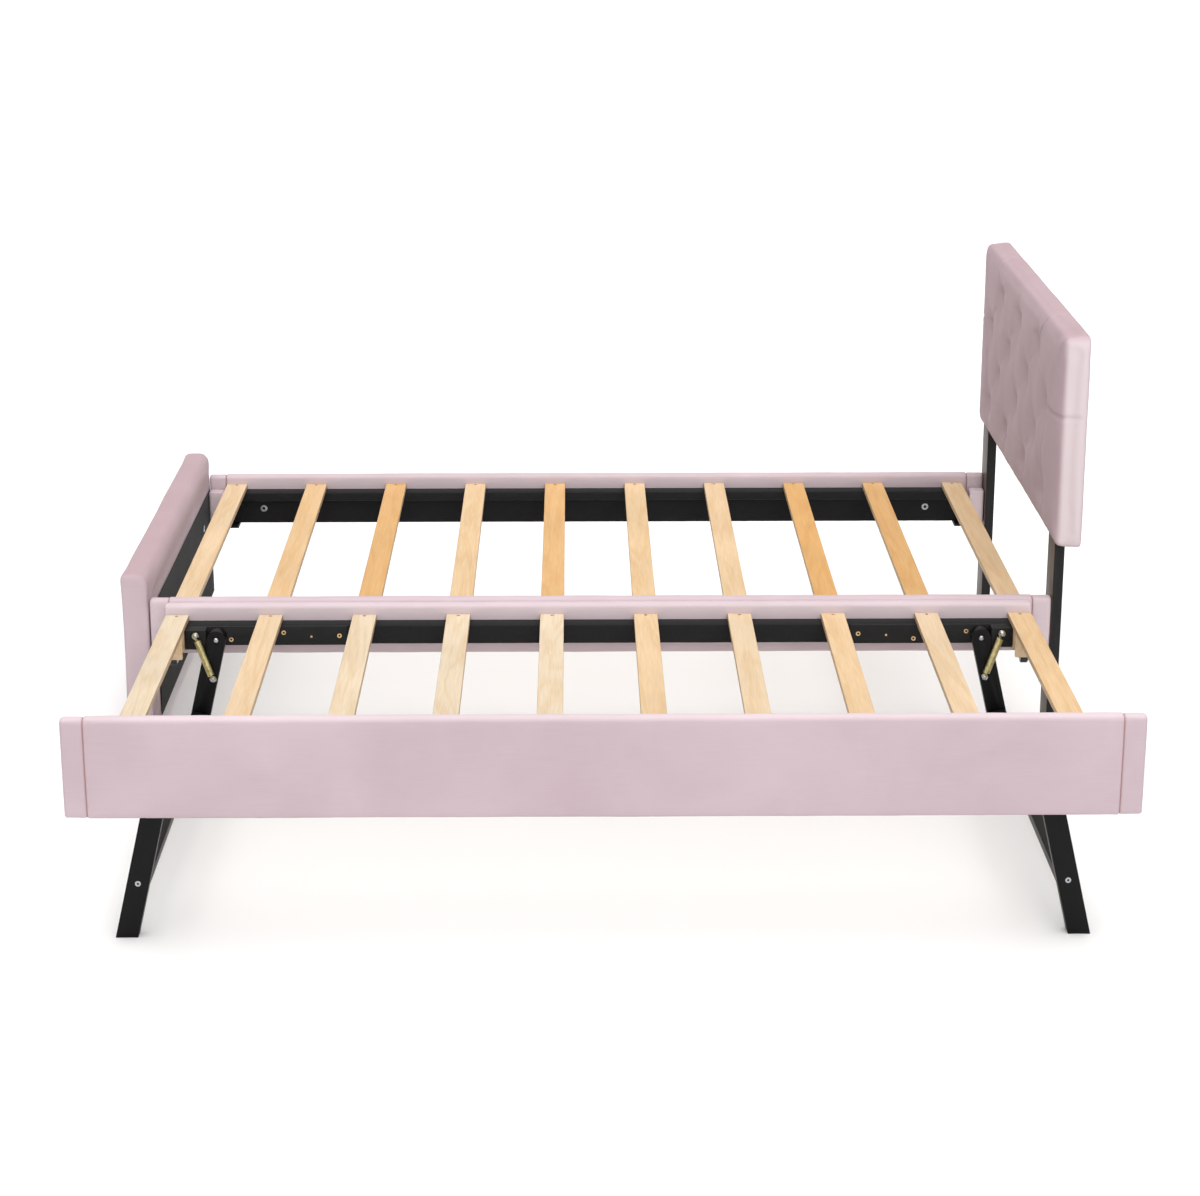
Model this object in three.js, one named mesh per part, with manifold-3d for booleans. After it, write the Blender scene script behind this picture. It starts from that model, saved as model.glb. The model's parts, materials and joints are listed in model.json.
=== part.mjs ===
// Upholstered platform bed with a pop-up trundle, drawn with the trundle pulled out and raised on its legs.
// Millimetres, +Z up. +X runs from the footboard to the headboard, +Y from the trundle to the bed.
// The origin is on the floor, under the centre of the whole set.
import * as THREE from 'three';
import { mergeVertices } from 'three/addons/utils/BufferGeometryUtils.js';
import Module from 'manifold-3d';

const wasm = await Module();
wasm.setup();

// Driving dimensions.
const GAP = 0.3; // left between pieces that touch
const ROUND_STEPS = 5;
const RAIL = { length: 1924.5, thickness: 32, bottom: 219, top: 341, corner: 8 };
const BED = { innerWidth: 995, slatTop: 320 };
const LEDGER = { depth: 34, height: 24, pastSlat: 5 };
const SLAT = { width: 50, thickness: 12, corner: 1.5, count: 10, span: 1776 };
const FOOTBOARD = { thickness: 62, bottom: 31, top: 398, outerCorner: 12, innerCorner: 26, lowCorner: 6 };
const FOOT = { radius: 20, taper: 4, inset: 60 };
const HEADBOARD = { width: 1130, thickness: 70, bottom: 455, top: 915, corner: 28, edge: 14 };
const POST = { thickness: 22, depth: 80, corner: 2, setback: 18.5, tenon: 160 };
const TRUNDLE = { width: 1040, drop: 235, gapToBed: 8, railLength: 1838, railBottom: 254 };
const PANEL = { length: 1916, bottom: 260, top: 449, corner: 9 };
const TRUNDLE_LEDGER = { height: 44 };
const TRUNDLE_SLAT_SPAN = 1784;
const LEG = { pivotX: 803.5, pivotZ: 284.5, footX: 871, width: 40, thickness: 28 };
const PIN = { radius: 5, clearance: 0.3, proud: 1 };
const CROSS_BAR = { fromPivot: 183, width: 38, height: 36 };
const MOUNT = { inboardX: 530, outboardX: 869, thickness: 5, bottom: 264.5, top: 306, clearance: 0.6 };
const SPRING = {
  topX: 845, topZ: 297, endX: 812, endZ: 201, radius: 6, wire: 2.2, neck: 10, standoff: 4.5,
};
const CASTER_BLOCK = {
  width: 45, length: 108, bottom: 255, pocketDepth: 13, pocketLength: 38, pocketInset: 10,
};
const CASTER = { wheelRadius: 14, wheelWidth: 16, chamfer: 2, bore: 2.3, axle: 2 };
const BRACKET = { sideGap: 0.8, plate: 2, belowAxle: 5, endGap: 4 };

// Places that follow from the driving dimensions.
const totalLength = FOOTBOARD.thickness + RAIL.length + HEADBOARD.thickness - POST.setback;
const footboardInner = -totalLength / 2 + FOOTBOARD.thickness;
const postFront = footboardInner + RAIL.length;
const bedWidth = BED.innerWidth + 2 * RAIL.thickness;
const headboardOverhang = (HEADBOARD.width - bedWidth) / 2;
const totalDepth = TRUNDLE.width + TRUNDLE.gapToBed + bedWidth + headboardOverhang;
const trundleFront = -totalDepth / 2;
const trundleBack = trundleFront + TRUNDLE.width;
const bedNear = trundleBack + TRUNDLE.gapToBed;
const bedFar = bedNear + bedWidth;
const bedMiddle = (bedNear + bedFar) / 2;
const trundleMiddle = (trundleFront + trundleBack) / 2;
const slatBottom = BED.slatTop - SLAT.thickness;
const halfTrundleInside = TRUNDLE.width / 2 - RAIL.thickness;
const legBack = halfTrundleInside - LEDGER.depth - MOUNT.thickness - GAP;
const casterBlockInner = MOUNT.outboardX + 2 * GAP;
const casterX = casterBlockInner + CASTER_BLOCK.width / 2;
const wheelZ = TRUNDLE.drop + CASTER.wheelRadius;

const velvet = { color: 0xd6bfc6, roughness: 0.85, metalness: 0 };
const birch = { color: 0xe2c497, roughness: 0.6, metalness: 0 };
const blackWood = { color: 0x1e1e20, roughness: 0.55, metalness: 0 };
const blackCloth = { color: 0x26262a, roughness: 0.9, metalness: 0 };
const blackMetal = { color: 0x232325, roughness: 0.5, metalness: 0.6 };
const springZinc = { color: 0x9a8f4e, roughness: 0.35, metalness: 0.9 };
const brightZinc = { color: 0xb9bcc0, roughness: 0.35, metalness: 0.9 };
const blackPlastic = { color: 0x1a1a1b, roughness: 0.6, metalness: 0 };

const bed = new THREE.Group();

function add(name, geometry, finish) {
  const mesh = new THREE.Mesh(geometry, new THREE.MeshStandardMaterial(finish));
  mesh.name = name;
  bed.add(mesh);
  return mesh;
}

// A closed outline turned into a solid bar along X, from lowX. The outline holds (y, z).
function barAlongX(outline, lowX, length, bevel = { bevelEnabled: false }) {
  const geometry = new THREE.ExtrudeGeometry(outline, { depth: length, ...bevel });
  const turn = new THREE.Matrix4().makeBasis(
    new THREE.Vector3(0, 1, 0), new THREE.Vector3(0, 0, 1), new THREE.Vector3(1, 0, 0));
  return geometry.applyMatrix4(turn).translate(lowX, 0, 0);
}

// A closed outline turned into a solid along Y, from lowY. The outline holds (x, z).
function plateAlongY(outline, lowY, length) {
  const geometry = new THREE.ExtrudeGeometry(outline, { depth: length, bevelEnabled: false });
  const turn = new THREE.Matrix4().makeBasis(
    new THREE.Vector3(1, 0, 0), new THREE.Vector3(0, 0, 1), new THREE.Vector3(0, -1, 0));
  return geometry.applyMatrix4(turn).translate(0, lowY + length, 0);
}

function box(lowX, highX, lowY, highY, lowZ, highZ) {
  const geometry = new THREE.BoxGeometry(highX - lowX, highY - lowY, highZ - lowZ);
  return geometry.translate((lowX + highX) / 2, (lowY + highY) / 2, (lowZ + highZ) / 2);
}

// A rectangle with a radius of its own at each corner: low-low, high-low, high-high and low-high.
function roundedOutline(lowU, highU, lowV, highV, radii) {
  const corners = [[lowU, lowV, 1, 1], [highU, lowV, -1, 1], [highU, highV, -1, -1], [lowU, highV, 1, -1]];
  const points = [];
  corners.forEach(([u, v, inU, inV], i) => {
    const start = Math.PI * (1 + i / 2);
    for (let k = 0; k <= ROUND_STEPS; k++) {
      const angle = start + (Math.PI / 2) * (k / ROUND_STEPS);
      points.push(new THREE.Vector2(
        u + inU * radii[i] + radii[i] * Math.cos(angle),
        v + inV * radii[i] + radii[i] * Math.sin(angle)));
    }
  });
  return new THREE.Shape(points);
}

function evenlyRounded(lowU, highU, lowV, highV, radius) {
  return roundedOutline(lowU, highU, lowV, highV, [radius, radius, radius, radius]);
}

function toSolid(geometry) {
  const plain = geometry.clone();
  plain.deleteAttribute('normal');
  plain.deleteAttribute('uv');
  const merged = mergeVertices(plain, 1e-4);
  const vertProperties = new Float32Array(merged.attributes.position.array);
  const triVerts = new Uint32Array(merged.index.array);
  return new wasm.Manifold(new wasm.Mesh({ numProp: 3, vertProperties, triVerts }));
}

function toGeometry(solid) {
  const { vertProperties, triVerts } = solid.getMesh();
  const geometry = new THREE.BufferGeometry();
  geometry.setAttribute('position', new THREE.BufferAttribute(vertProperties, 3));
  geometry.setIndex(new THREE.BufferAttribute(triVerts, 1));
  geometry.computeVertexNormals();
  return geometry;
}

function circlePoints(u, v, radius, sides = 20) {
  return Array.from({ length: sides }, (_, i) => {
    const angle = 2 * Math.PI * (i / sides);
    return new THREE.Vector2(u + radius * Math.cos(angle), v + radius * Math.sin(angle));
  });
}

// A cylinder along X or Y, centred on a point.
function cylinder(radius, length, axis, x, y, z, sides = 20) {
  const geometry = new THREE.CylinderGeometry(radius, radius, length, sides);
  if (axis === 'X') {
    geometry.rotateZ(Math.PI / 2);
  }
  return geometry.translate(x, y, z);
}

function makeHeadboard() {
  const front = postFront - POST.setback;
  const edge = HEADBOARD.edge;
  const outline = evenlyRounded(
    bedMiddle - HEADBOARD.width / 2 + edge, bedMiddle + HEADBOARD.width / 2 - edge,
    HEADBOARD.bottom + edge, HEADBOARD.top - edge, HEADBOARD.corner - edge);
  const bevel = { bevelThickness: edge, bevelSize: edge, bevelSegments: 3 };
  let solid = toSolid(barAlongX(outline, front + edge, HEADBOARD.thickness - 2 * edge, bevel));
  for (const nearFace of [bedNear, bedFar - POST.depth]) {
    const mortise = box(
      postFront - GAP, postFront + POST.thickness + GAP, nearFace - GAP, nearFace + POST.depth + GAP,
      HEADBOARD.bottom - HEADBOARD.edge, HEADBOARD.bottom + POST.tenon + GAP);
    solid = solid.subtract(toSolid(mortise));
  }
  add('headboard', toGeometry(solid), velvet);
}

function makePosts() {
  const places = { near_post: bedNear, far_post: bedFar - POST.depth };
  for (const [name, nearFace] of Object.entries(places)) {
    const postBack = postFront + POST.thickness;
    const outline = evenlyRounded(postFront, postBack, nearFace, nearFace + POST.depth, POST.corner);
    const geometry = new THREE.ExtrudeGeometry(outline, {
      depth: HEADBOARD.bottom + POST.tenon, bevelEnabled: false });
    add(name, geometry, blackWood);
  }
}

function makeFootboard() {
  const outline = roundedOutline(
    footboardInner - FOOTBOARD.thickness, footboardInner - GAP, FOOTBOARD.bottom, FOOTBOARD.top,
    [FOOTBOARD.lowCorner, FOOTBOARD.lowCorner, FOOTBOARD.innerCorner, FOOTBOARD.outerCorner]);
  add('footboard', plateAlongY(outline, bedNear, bedWidth), velvet);
  const places = { near_foot: bedNear + FOOT.inset, far_foot: bedFar - FOOT.inset };
  for (const [name, y] of Object.entries(places)) {
    const height = FOOTBOARD.bottom - GAP;
    const geometry = new THREE.CylinderGeometry(FOOT.radius, FOOT.radius - FOOT.taper, height, 28);
    geometry.rotateX(Math.PI / 2).translate(footboardInner - FOOTBOARD.thickness / 2, y, height / 2);
    add(name, geometry, blackPlastic);
  }
}

function makeSideRails() {
  const places = { near_side_rail: bedNear, far_side_rail: bedFar - RAIL.thickness };
  for (const [name, low] of Object.entries(places)) {
    const outline = evenlyRounded(low, low + RAIL.thickness, RAIL.bottom, RAIL.top, RAIL.corner);
    add(name, barAlongX(outline, footboardInner + GAP, RAIL.length - 2 * GAP), velvet);
  }
}

// The cleats that the slats lie on, screwed to the inner face of each long side.
function makeLedgers() {
  const halfInside = BED.innerWidth / 2;
  const halfSpan = SLAT.span / 2 + SLAT.width / 2 + LEDGER.pastSlat;
  const halfShort = casterBlockInner - GAP;
  const top = slatBottom - GAP;
  const places = [
    ['near_ledger', bedMiddle - halfInside + GAP, halfSpan, LEDGER.height],
    ['far_ledger', bedMiddle + halfInside - LEDGER.depth - GAP, halfSpan, LEDGER.height],
    ['trundle_front_ledger', trundleMiddle - halfTrundleInside + GAP, halfShort, TRUNDLE_LEDGER.height],
    ['trundle_rear_ledger', trundleMiddle + halfTrundleInside - LEDGER.depth - GAP, halfShort,
      TRUNDLE_LEDGER.height],
  ];
  for (const [name, low, half, height] of places) {
    add(name, box(-half, half, low, low + LEDGER.depth - GAP, top - height, top), blackCloth);
  }
}

function makeSlats(prefix, span, middle, inside) {
  const pitch = span / (SLAT.count - 1);
  for (let i = 0; i < SLAT.count; i++) {
    const x = -span / 2 + i * pitch;
    const low = x - SLAT.width / 2;
    const outline = evenlyRounded(low, low + SLAT.width, slatBottom, BED.slatTop, SLAT.corner);
    const length = inside - 4 * GAP;
    add(`${prefix}_${i + 1}`, plateAlongY(outline, middle - length / 2, length), birch);
  }
}

function makeTrundleSides() {
  const frontOutline = evenlyRounded(
    trundleFront, trundleFront + RAIL.thickness, PANEL.bottom, PANEL.top, PANEL.corner);
  add('trundle_front_panel', barAlongX(frontOutline, -PANEL.length / 2, PANEL.length), velvet);
  const rearOutline = evenlyRounded(
    trundleBack - RAIL.thickness, trundleBack, TRUNDLE.railBottom, RAIL.top, RAIL.corner);
  add('trundle_rear_rail', barAlongX(rearOutline, -TRUNDLE.railLength / 2, TRUNDLE.railLength), velvet);
}

const legTilt = Math.atan2(LEG.footX - LEG.pivotX, LEG.pivotZ);

// Half a turn over the pivot, then straight down to a foot that is cut flat on the floor.
function legOutline(side) {
  const radius = LEG.width / 2;
  const halfFoot = radius / Math.cos(legTilt);
  const points = [[LEG.footX - halfFoot, 0], [LEG.footX + halfFoot, 0]];
  for (let k = 0; k <= 16; k++) {
    const angle = legTilt + Math.PI * (k / 16);
    points.push([LEG.pivotX + radius * Math.cos(angle), LEG.pivotZ + radius * Math.sin(angle)]);
  }
  const shape = new THREE.Shape(points.map(([x, z]) => new THREE.Vector2(side * x, z)));
  shape.holes.push(new THREE.Path(circlePoints(side * LEG.pivotX, LEG.pivotZ, PIN.radius + PIN.clearance)));
  return shape;
}

function makeLegs() {
  for (const [sideName, side] of [['left', -1], ['right', 1]]) {
    for (const [endName, end] of [['front', -1], ['rear', 1]]) {
      const near = end < 0 ? trundleMiddle - legBack : trundleMiddle + legBack - LEG.thickness;
      add(`${endName}_${sideName}_leg`, plateAlongY(legOutline(side), near, LEG.thickness), blackWood);
    }
    const length = 2 * (legBack - LEG.thickness - GAP);
    const bar = new THREE.BoxGeometry(CROSS_BAR.width, length, CROSS_BAR.height);
    const mesh = add(`${sideName}_cross_bar`, bar, blackWood);
    mesh.position.set(
      side * (LEG.pivotX + CROSS_BAR.fromPivot * Math.sin(legTilt)), trundleMiddle,
      LEG.pivotZ - CROSS_BAR.fromPivot * Math.cos(legTilt));
    mesh.rotation.y = -side * legTilt;
  }
}

// A steel strip on the cleat, with the pivot pin and the block that the open leg leans on.
function makeLegMounts() {
  for (const [sideName, side] of [['left', -1], ['right', 1]]) {
    for (const [endName, end] of [['front', -1], ['rear', 1]]) {
      const face = halfTrundleInside - LEDGER.depth - GAP;
      const lowX = side < 0 ? -MOUNT.outboardX : MOUNT.inboardX;
      const length = MOUNT.outboardX - MOUNT.inboardX;
      const stripY = trundleMiddle + end * (face - MOUNT.thickness / 2);
      const strip = box(
        lowX, lowX + length, stripY - MOUNT.thickness / 2 + GAP / 2, stripY + MOUNT.thickness / 2 - GAP / 2,
        MOUNT.bottom, MOUNT.top);
      const edgeAt = (z) => LEG.pivotX + LEG.width / 2 / Math.cos(legTilt)
        + Math.max(0, LEG.pivotZ - z) * Math.tan(legTilt) + MOUNT.clearance;
      const block = new THREE.Shape([
        [edgeAt(MOUNT.bottom), MOUNT.bottom], [MOUNT.outboardX, MOUNT.bottom], [MOUNT.outboardX, MOUNT.top],
        [edgeAt(MOUNT.top), MOUNT.top], [edgeAt(LEG.pivotZ), LEG.pivotZ],
      ].map(([x, z]) => new THREE.Vector2(side * x, z)));
      const blockDepth = LEG.thickness + MOUNT.thickness / 2;
      const blockLow = end < 0 ? stripY : stripY - blockDepth;
      const pinLength = LEG.thickness + MOUNT.thickness / 2 + GAP + PIN.proud;
      const pin = cylinder(
        PIN.radius, pinLength, 'Y', side * LEG.pivotX, stripY - end * pinLength / 2, LEG.pivotZ);
      const solid = toSolid(strip).add(toSolid(plateAlongY(block, blockLow, blockDepth))).add(toSolid(pin));
      add(`${endName}_${sideName}_leg_mount`, toGeometry(solid), blackMetal);
    }
  }
}

// A round profile that narrows to its wire at one end, turned about its own length.
function springHalf(bodyLength, neckLength) {
  const profile = [
    [0, 0], [SPRING.radius, 0], [SPRING.radius, bodyLength], [SPRING.wire, bodyLength + SPRING.radius / 2],
    [SPRING.wire, bodyLength + neckLength], [0, bodyLength + neckLength],
  ].map(([r, y]) => new THREE.Vector2(r, y));
  return new THREE.LatheGeometry(profile, 12);
}

// Each rear leg has a tension spring. It is drawn as two halves, which move apart as it stretches.
function makeSprings() {
  const dx = SPRING.topX - SPRING.endX;
  const dz = SPRING.topZ - SPRING.endZ;
  const length = Math.hypot(dx, dz);
  const half = length / 2 - SPRING.neck - GAP / 2;
  const y = trundleMiddle + legBack - LEG.thickness - SPRING.radius - SPRING.standoff;
  for (const [sideName, side] of [['left', -1], ['right', 1]]) {
    const lean = side * Math.atan2(dx, dz);
    const middleX = side * (SPRING.topX + SPRING.endX) / 2;
    const middle = new THREE.Vector3(middleX, y, (SPRING.topZ + SPRING.endZ) / 2);
    for (const [name, up] of [['top', 1], ['end', -1]]) {
      const geometry = springHalf(half, SPRING.neck).translate(0, GAP / 2, 0);
      geometry.rotateX(up * Math.PI / 2);
      geometry.rotateY(lean);
      const mesh = add(`${sideName}_spring_${name}`, geometry, springZinc);
      mesh.position.copy(middle);
    }
  }
}

// A wooden block under each end slat, with a pocket for the caster.
function casterBlock(end) {
  const inner = halfTrundleInside - GAP;
  const tip = inner - CASTER_BLOCK.length;
  const pocketLow = tip + CASTER_BLOCK.pocketInset;
  const pocketHigh = pocketLow + CASTER_BLOCK.pocketLength;
  const pocketTop = CASTER_BLOCK.bottom + CASTER_BLOCK.pocketDepth;
  const outline = new THREE.Shape([
    [tip, CASTER_BLOCK.bottom], [pocketLow, CASTER_BLOCK.bottom], [pocketLow, pocketTop],
    [pocketHigh, pocketTop], [pocketHigh, CASTER_BLOCK.bottom], [inner, CASTER_BLOCK.bottom],
    [inner, slatBottom - GAP], [tip, slatBottom - GAP],
  ].map(([y, z]) => new THREE.Vector2(trundleMiddle + end * y, z)));
  return outline;
}

function makeCasters() {
  const pocketTop = CASTER_BLOCK.bottom + CASTER_BLOCK.pocketDepth;
  const wheelY = halfTrundleInside - GAP - CASTER_BLOCK.length + CASTER_BLOCK.pocketInset
    + CASTER_BLOCK.pocketLength / 2;
  for (const [sideName, side] of [['left', -1], ['right', 1]]) {
    for (const [endName, end] of [['front', -1], ['rear', 1]]) {
      const lowX = side < 0 ? -casterBlockInner - CASTER_BLOCK.width : casterBlockInner;
      const block = barAlongX(casterBlock(end), lowX, CASTER_BLOCK.width);
      add(`${endName}_${sideName}_caster_block`, block, birch);

      const x = side * casterX;
      const y = trundleMiddle + end * wheelY;
      const halfInside = CASTER.wheelWidth / 2 + BRACKET.sideGap;
      const halfFork = halfInside + BRACKET.plate;
      const top = pocketTop - GAP;
      const low = wheelZ - BRACKET.belowAxle;
      const fork = new THREE.Shape([
        [-halfFork, low], [-halfInside, low],
        [-halfInside, top - BRACKET.plate], [halfInside, top - BRACKET.plate],
        [halfInside, low], [halfFork, low], [halfFork, top], [-halfFork, top],
      ].map(([u, z]) => new THREE.Vector2(x + u, z)));
      const forkLength = CASTER_BLOCK.pocketLength - 2 * BRACKET.endGap;
      const axle = cylinder(CASTER.axle, 2 * halfFork - BRACKET.plate, 'X', x, y, wheelZ, 14);
      const bracket = toSolid(plateAlongY(fork, y - forkLength / 2, forkLength)).add(toSolid(axle));
      add(`${endName}_${sideName}_caster_bracket`, toGeometry(bracket), brightZinc);

      const tread = CASTER.wheelRadius;
      const halfWheel = CASTER.wheelWidth / 2;
      const profile = [
        [CASTER.bore, -halfWheel], [tread - CASTER.chamfer, -halfWheel],
        [tread, CASTER.chamfer - halfWheel],
        [tread, halfWheel - CASTER.chamfer], [tread - CASTER.chamfer, halfWheel], [CASTER.bore, halfWheel],
        [CASTER.bore, -halfWheel],
      ].map(([r, u]) => new THREE.Vector2(r, u));
      const wheel = new THREE.LatheGeometry(profile, 28).rotateZ(Math.PI / 2);
      add(`${endName}_${sideName}_wheel`, wheel, blackPlastic).position.set(x, y, wheelZ);
    }
  }
}

makeHeadboard();
makePosts();
makeFootboard();
makeSideRails();
makeLedgers();
makeSlats('slat', SLAT.span, bedMiddle, BED.innerWidth);
makeTrundleSides();
makeSlats('trundle_slat', TRUNDLE_SLAT_SPAN, trundleMiddle, 2 * halfTrundleInside);
makeLegs();
makeLegMounts();
makeSprings();
makeCasters();

export default bed;
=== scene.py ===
"""Looks of the pink velvet bed with its pop-up trundle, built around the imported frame."""
import json
import math

import bmesh
import bpy
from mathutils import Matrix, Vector, noise


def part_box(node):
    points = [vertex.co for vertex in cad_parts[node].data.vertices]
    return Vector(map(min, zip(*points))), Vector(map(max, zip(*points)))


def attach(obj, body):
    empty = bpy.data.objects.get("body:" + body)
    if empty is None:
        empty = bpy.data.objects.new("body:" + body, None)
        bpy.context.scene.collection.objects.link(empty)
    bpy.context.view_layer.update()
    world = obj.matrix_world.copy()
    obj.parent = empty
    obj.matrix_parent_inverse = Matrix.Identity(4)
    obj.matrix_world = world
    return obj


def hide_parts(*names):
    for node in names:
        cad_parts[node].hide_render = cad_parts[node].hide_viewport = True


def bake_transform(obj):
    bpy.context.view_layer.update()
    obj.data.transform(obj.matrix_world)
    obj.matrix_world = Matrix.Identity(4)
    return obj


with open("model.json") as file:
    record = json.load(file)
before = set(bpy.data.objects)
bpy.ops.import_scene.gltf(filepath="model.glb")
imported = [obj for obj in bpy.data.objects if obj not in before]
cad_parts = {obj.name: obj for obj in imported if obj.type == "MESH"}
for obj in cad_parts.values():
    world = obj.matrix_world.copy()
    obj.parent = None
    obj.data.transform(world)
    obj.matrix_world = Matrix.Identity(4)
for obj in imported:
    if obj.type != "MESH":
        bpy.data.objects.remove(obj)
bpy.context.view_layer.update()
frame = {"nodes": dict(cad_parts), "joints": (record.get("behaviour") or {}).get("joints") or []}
scene = bpy.context.scene

# Camera and floor. The set is seen from the trundle's long side, a little above, from well back,
# so that both slatted decks lie open. The floor is a plain pale sheet that carries on to the horizon.
CAMERA_PLACE = (-0.053, -5.634, 2.098)
CAMERA_PITCH = math.radians(17.38)
CAMERA_TURN = math.radians(0.57)
FOCAL_LENGTH = 82.8
FLOOR_HALF = 70.0

camera = bpy.data.objects.new("camera", bpy.data.cameras.new("camera"))
scene.collection.objects.link(camera)
camera.location = CAMERA_PLACE
camera.rotation_euler = (math.pi / 2 - CAMERA_PITCH, 0, -CAMERA_TURN)
camera.data.lens = FOCAL_LENGTH
camera.data.sensor_width = 36
camera.data.clip_end = 200
scene.camera = camera
scene.view_settings.view_transform = "Standard"


def new_material(name, roughness, metallic=0.0):
    """A material with its nodes on, and its shader with the values that are the same all over."""
    material = bpy.data.materials.new(name)
    material.use_nodes = True
    shader = material.node_tree.nodes["Principled BSDF"]
    shader.inputs["Roughness"].default_value = roughness
    shader.inputs["Metallic"].default_value = metallic
    return material, material.node_tree, shader


def node(tree, kind, inputs=None, **settings):
    made = tree.nodes.new(kind)
    for key, value in settings.items():
        setattr(made, key, value)
    for key, value in (inputs or {}).items():
        if isinstance(value, bpy.types.NodeSocket):
            tree.links.new(value, made.inputs[key])
        else:
            made.inputs[key].default_value = value
    return made


def new_object(name, mesh, materials=()):
    made = bpy.data.objects.new(name, mesh)
    scene.collection.objects.link(made)
    for material in materials:
        made.data.materials.append(material)
    return made


def mesh_from(name, verts, faces):
    mesh = bpy.data.meshes.new(name)
    mesh.from_pydata([tuple(v) for v in verts], [], faces)
    mesh.update()
    return mesh


floor_paint, tree, shader = new_material("floor_paint", 0.9)
mottle = node(tree, "ShaderNodeTexNoise", {"Scale": 0.6, "Detail": 2.0})
pale = node(tree, "ShaderNodeValToRGB", {"Fac": mottle.outputs["Fac"]})
pale.color_ramp.elements[0].color = (0.775, 0.775, 0.775, 1)
pale.color_ramp.elements[1].color = (0.80, 0.80, 0.80, 1)
tree.links.new(pale.outputs["Color"], shader.inputs["Base Color"])
corners = [(-FLOOR_HALF, -FLOOR_HALF, 0), (FLOOR_HALF, -FLOOR_HALF, 0), (FLOOR_HALF, FLOOR_HALF, 0),
           (-FLOOR_HALF, FLOOR_HALF, 0)]
floor = new_object("floor", mesh_from("floor", corners, [(0, 1, 2, 3)]), [floor_paint])


# Posts. Two flat hardwood posts stand on the floor and run up into the headboard, lacquered satin black.
# Their arrises are eased by hand, and the faces that look along -X are mixed toward brown in step with the
# grain.
EASED_EDGE = 0.0015


def mottle(tree, space, scale, detail, distortion=0.0):
    return node(tree, "ShaderNodeTexNoise", {
        "Vector": space, "Scale": scale, "Detail": detail, "Distortion": distortion})


def stretched(tree, space, scale):
    return node(tree, "ShaderNodeMapping", {"Vector": space, "Scale": scale})


def embossed(tree, shader, height, strength, distance):
    """Raises a pattern on the finish."""
    relief = node(tree, "ShaderNodeBump", {"Height": height, "Strength": strength, "Distance": distance})
    tree.links.new(relief.outputs["Normal"], shader.inputs["Normal"])


def lacquered(name, shade, grain_axis, minus_x_brown=None):
    """Satin black lacquer on wood: the grain shows as a faint relief along one axis. Where a brown is
    given, the faces that look along -X are mixed toward it in step with the grain."""
    material, tree, shader = new_material(name, 0.42)
    shader.inputs["Specular IOR Level"].default_value = 0.18
    place = node(tree, "ShaderNodeTexCoord")
    squeeze = [60.0, 60.0, 60.0]
    squeeze[grain_axis] = 3.0
    along = stretched(tree, place.outputs["Object"], squeeze)
    grain = mottle(tree, along.outputs["Vector"], 1.0, 5.0)
    dust = mottle(tree, place.outputs["Object"], 9.0, 6.0)
    tint = node(tree, "ShaderNodeValToRGB", {"Fac": grain.outputs["Fac"]})
    tint.color_ramp.elements[0].position = 0.35
    tint.color_ramp.elements[0].color = (shade * 0.8, shade * 0.8, shade * 0.85, 1)
    tint.color_ramp.elements[1].position = 0.75
    tint.color_ramp.elements[1].color = (shade * 1.35, shade * 1.35, shade * 1.4, 1)
    polish = node(tree, "ShaderNodeMapRange", {"Value": dust.outputs["Fac"], "To Min": 0.32, "To Max": 0.55})
    colour = tint.outputs["Color"]
    # Faces that look along -X are mixed toward the given brown, in step with the grain.
    if minus_x_brown:
        facing = node(tree, "ShaderNodeSeparateXYZ", {"Vector": place.outputs["Normal"]})
        ahead = node(tree, "ShaderNodeMath", {0: facing.outputs["X"], 1: -0.6}, operation="LESS_THAN")
        share = node(tree, "ShaderNodeMath", {0: ahead.outputs["Value"], 1: grain.outputs["Fac"]},
                     operation="MULTIPLY")
        minus_x_browned = node(tree, "ShaderNodeMix", {"Factor": share.outputs["Value"], "A": colour, "B": minus_x_brown},
                    data_type="RGBA")
        colour = minus_x_browned.outputs["Result"]
    tree.links.new(colour, shader.inputs["Base Color"])
    tree.links.new(polish.outputs["Result"], shader.inputs["Roughness"])
    embossed(tree, shader, grain.outputs["Fac"], 0.25, 0.0004)
    return material


def dressed(node_name, piece_name, body, material, edge=EASED_EDGE, segments=2, sharp=40):
    """The frame's own solid with its loose triangles joined and its arrises eased, in place of the node."""
    bm = bmesh.new()
    bm.from_mesh(frame["nodes"][node_name].data)
    bmesh.ops.remove_doubles(bm, verts=bm.verts, dist=1e-5)
    bmesh.ops.dissolve_limit(bm, angle_limit=math.radians(0.5), verts=bm.verts, edges=bm.edges)
    bmesh.ops.recalc_face_normals(bm, faces=bm.faces)
    hard = [e for e in bm.edges if len(e.link_faces) == 2 and e.calc_face_angle() > math.radians(sharp)]
    bmesh.ops.bevel(bm, geom=hard, offset=edge, segments=segments, affect="EDGES", profile=0.6,
                    clamp_overlap=True)
    mesh = bpy.data.meshes.new(piece_name)
    bm.to_mesh(mesh)
    bm.free()
    mesh.polygons.foreach_set("use_smooth", [True] * len(mesh.polygons))
    mesh.set_sharp_from_angle(angle=math.radians(32))
    piece = new_object(piece_name, mesh, [material])
    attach(piece, body)
    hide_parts(node_name)
    return piece


post_lacquer = lacquered("post_lacquer", 0.012, 2, minus_x_brown=(0.16, 0.115, 0.08, 1))
for side in ("near", "far"):
    dressed(f"{side}_post", f"{side}_post_wood", "bed", post_lacquer)


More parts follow.
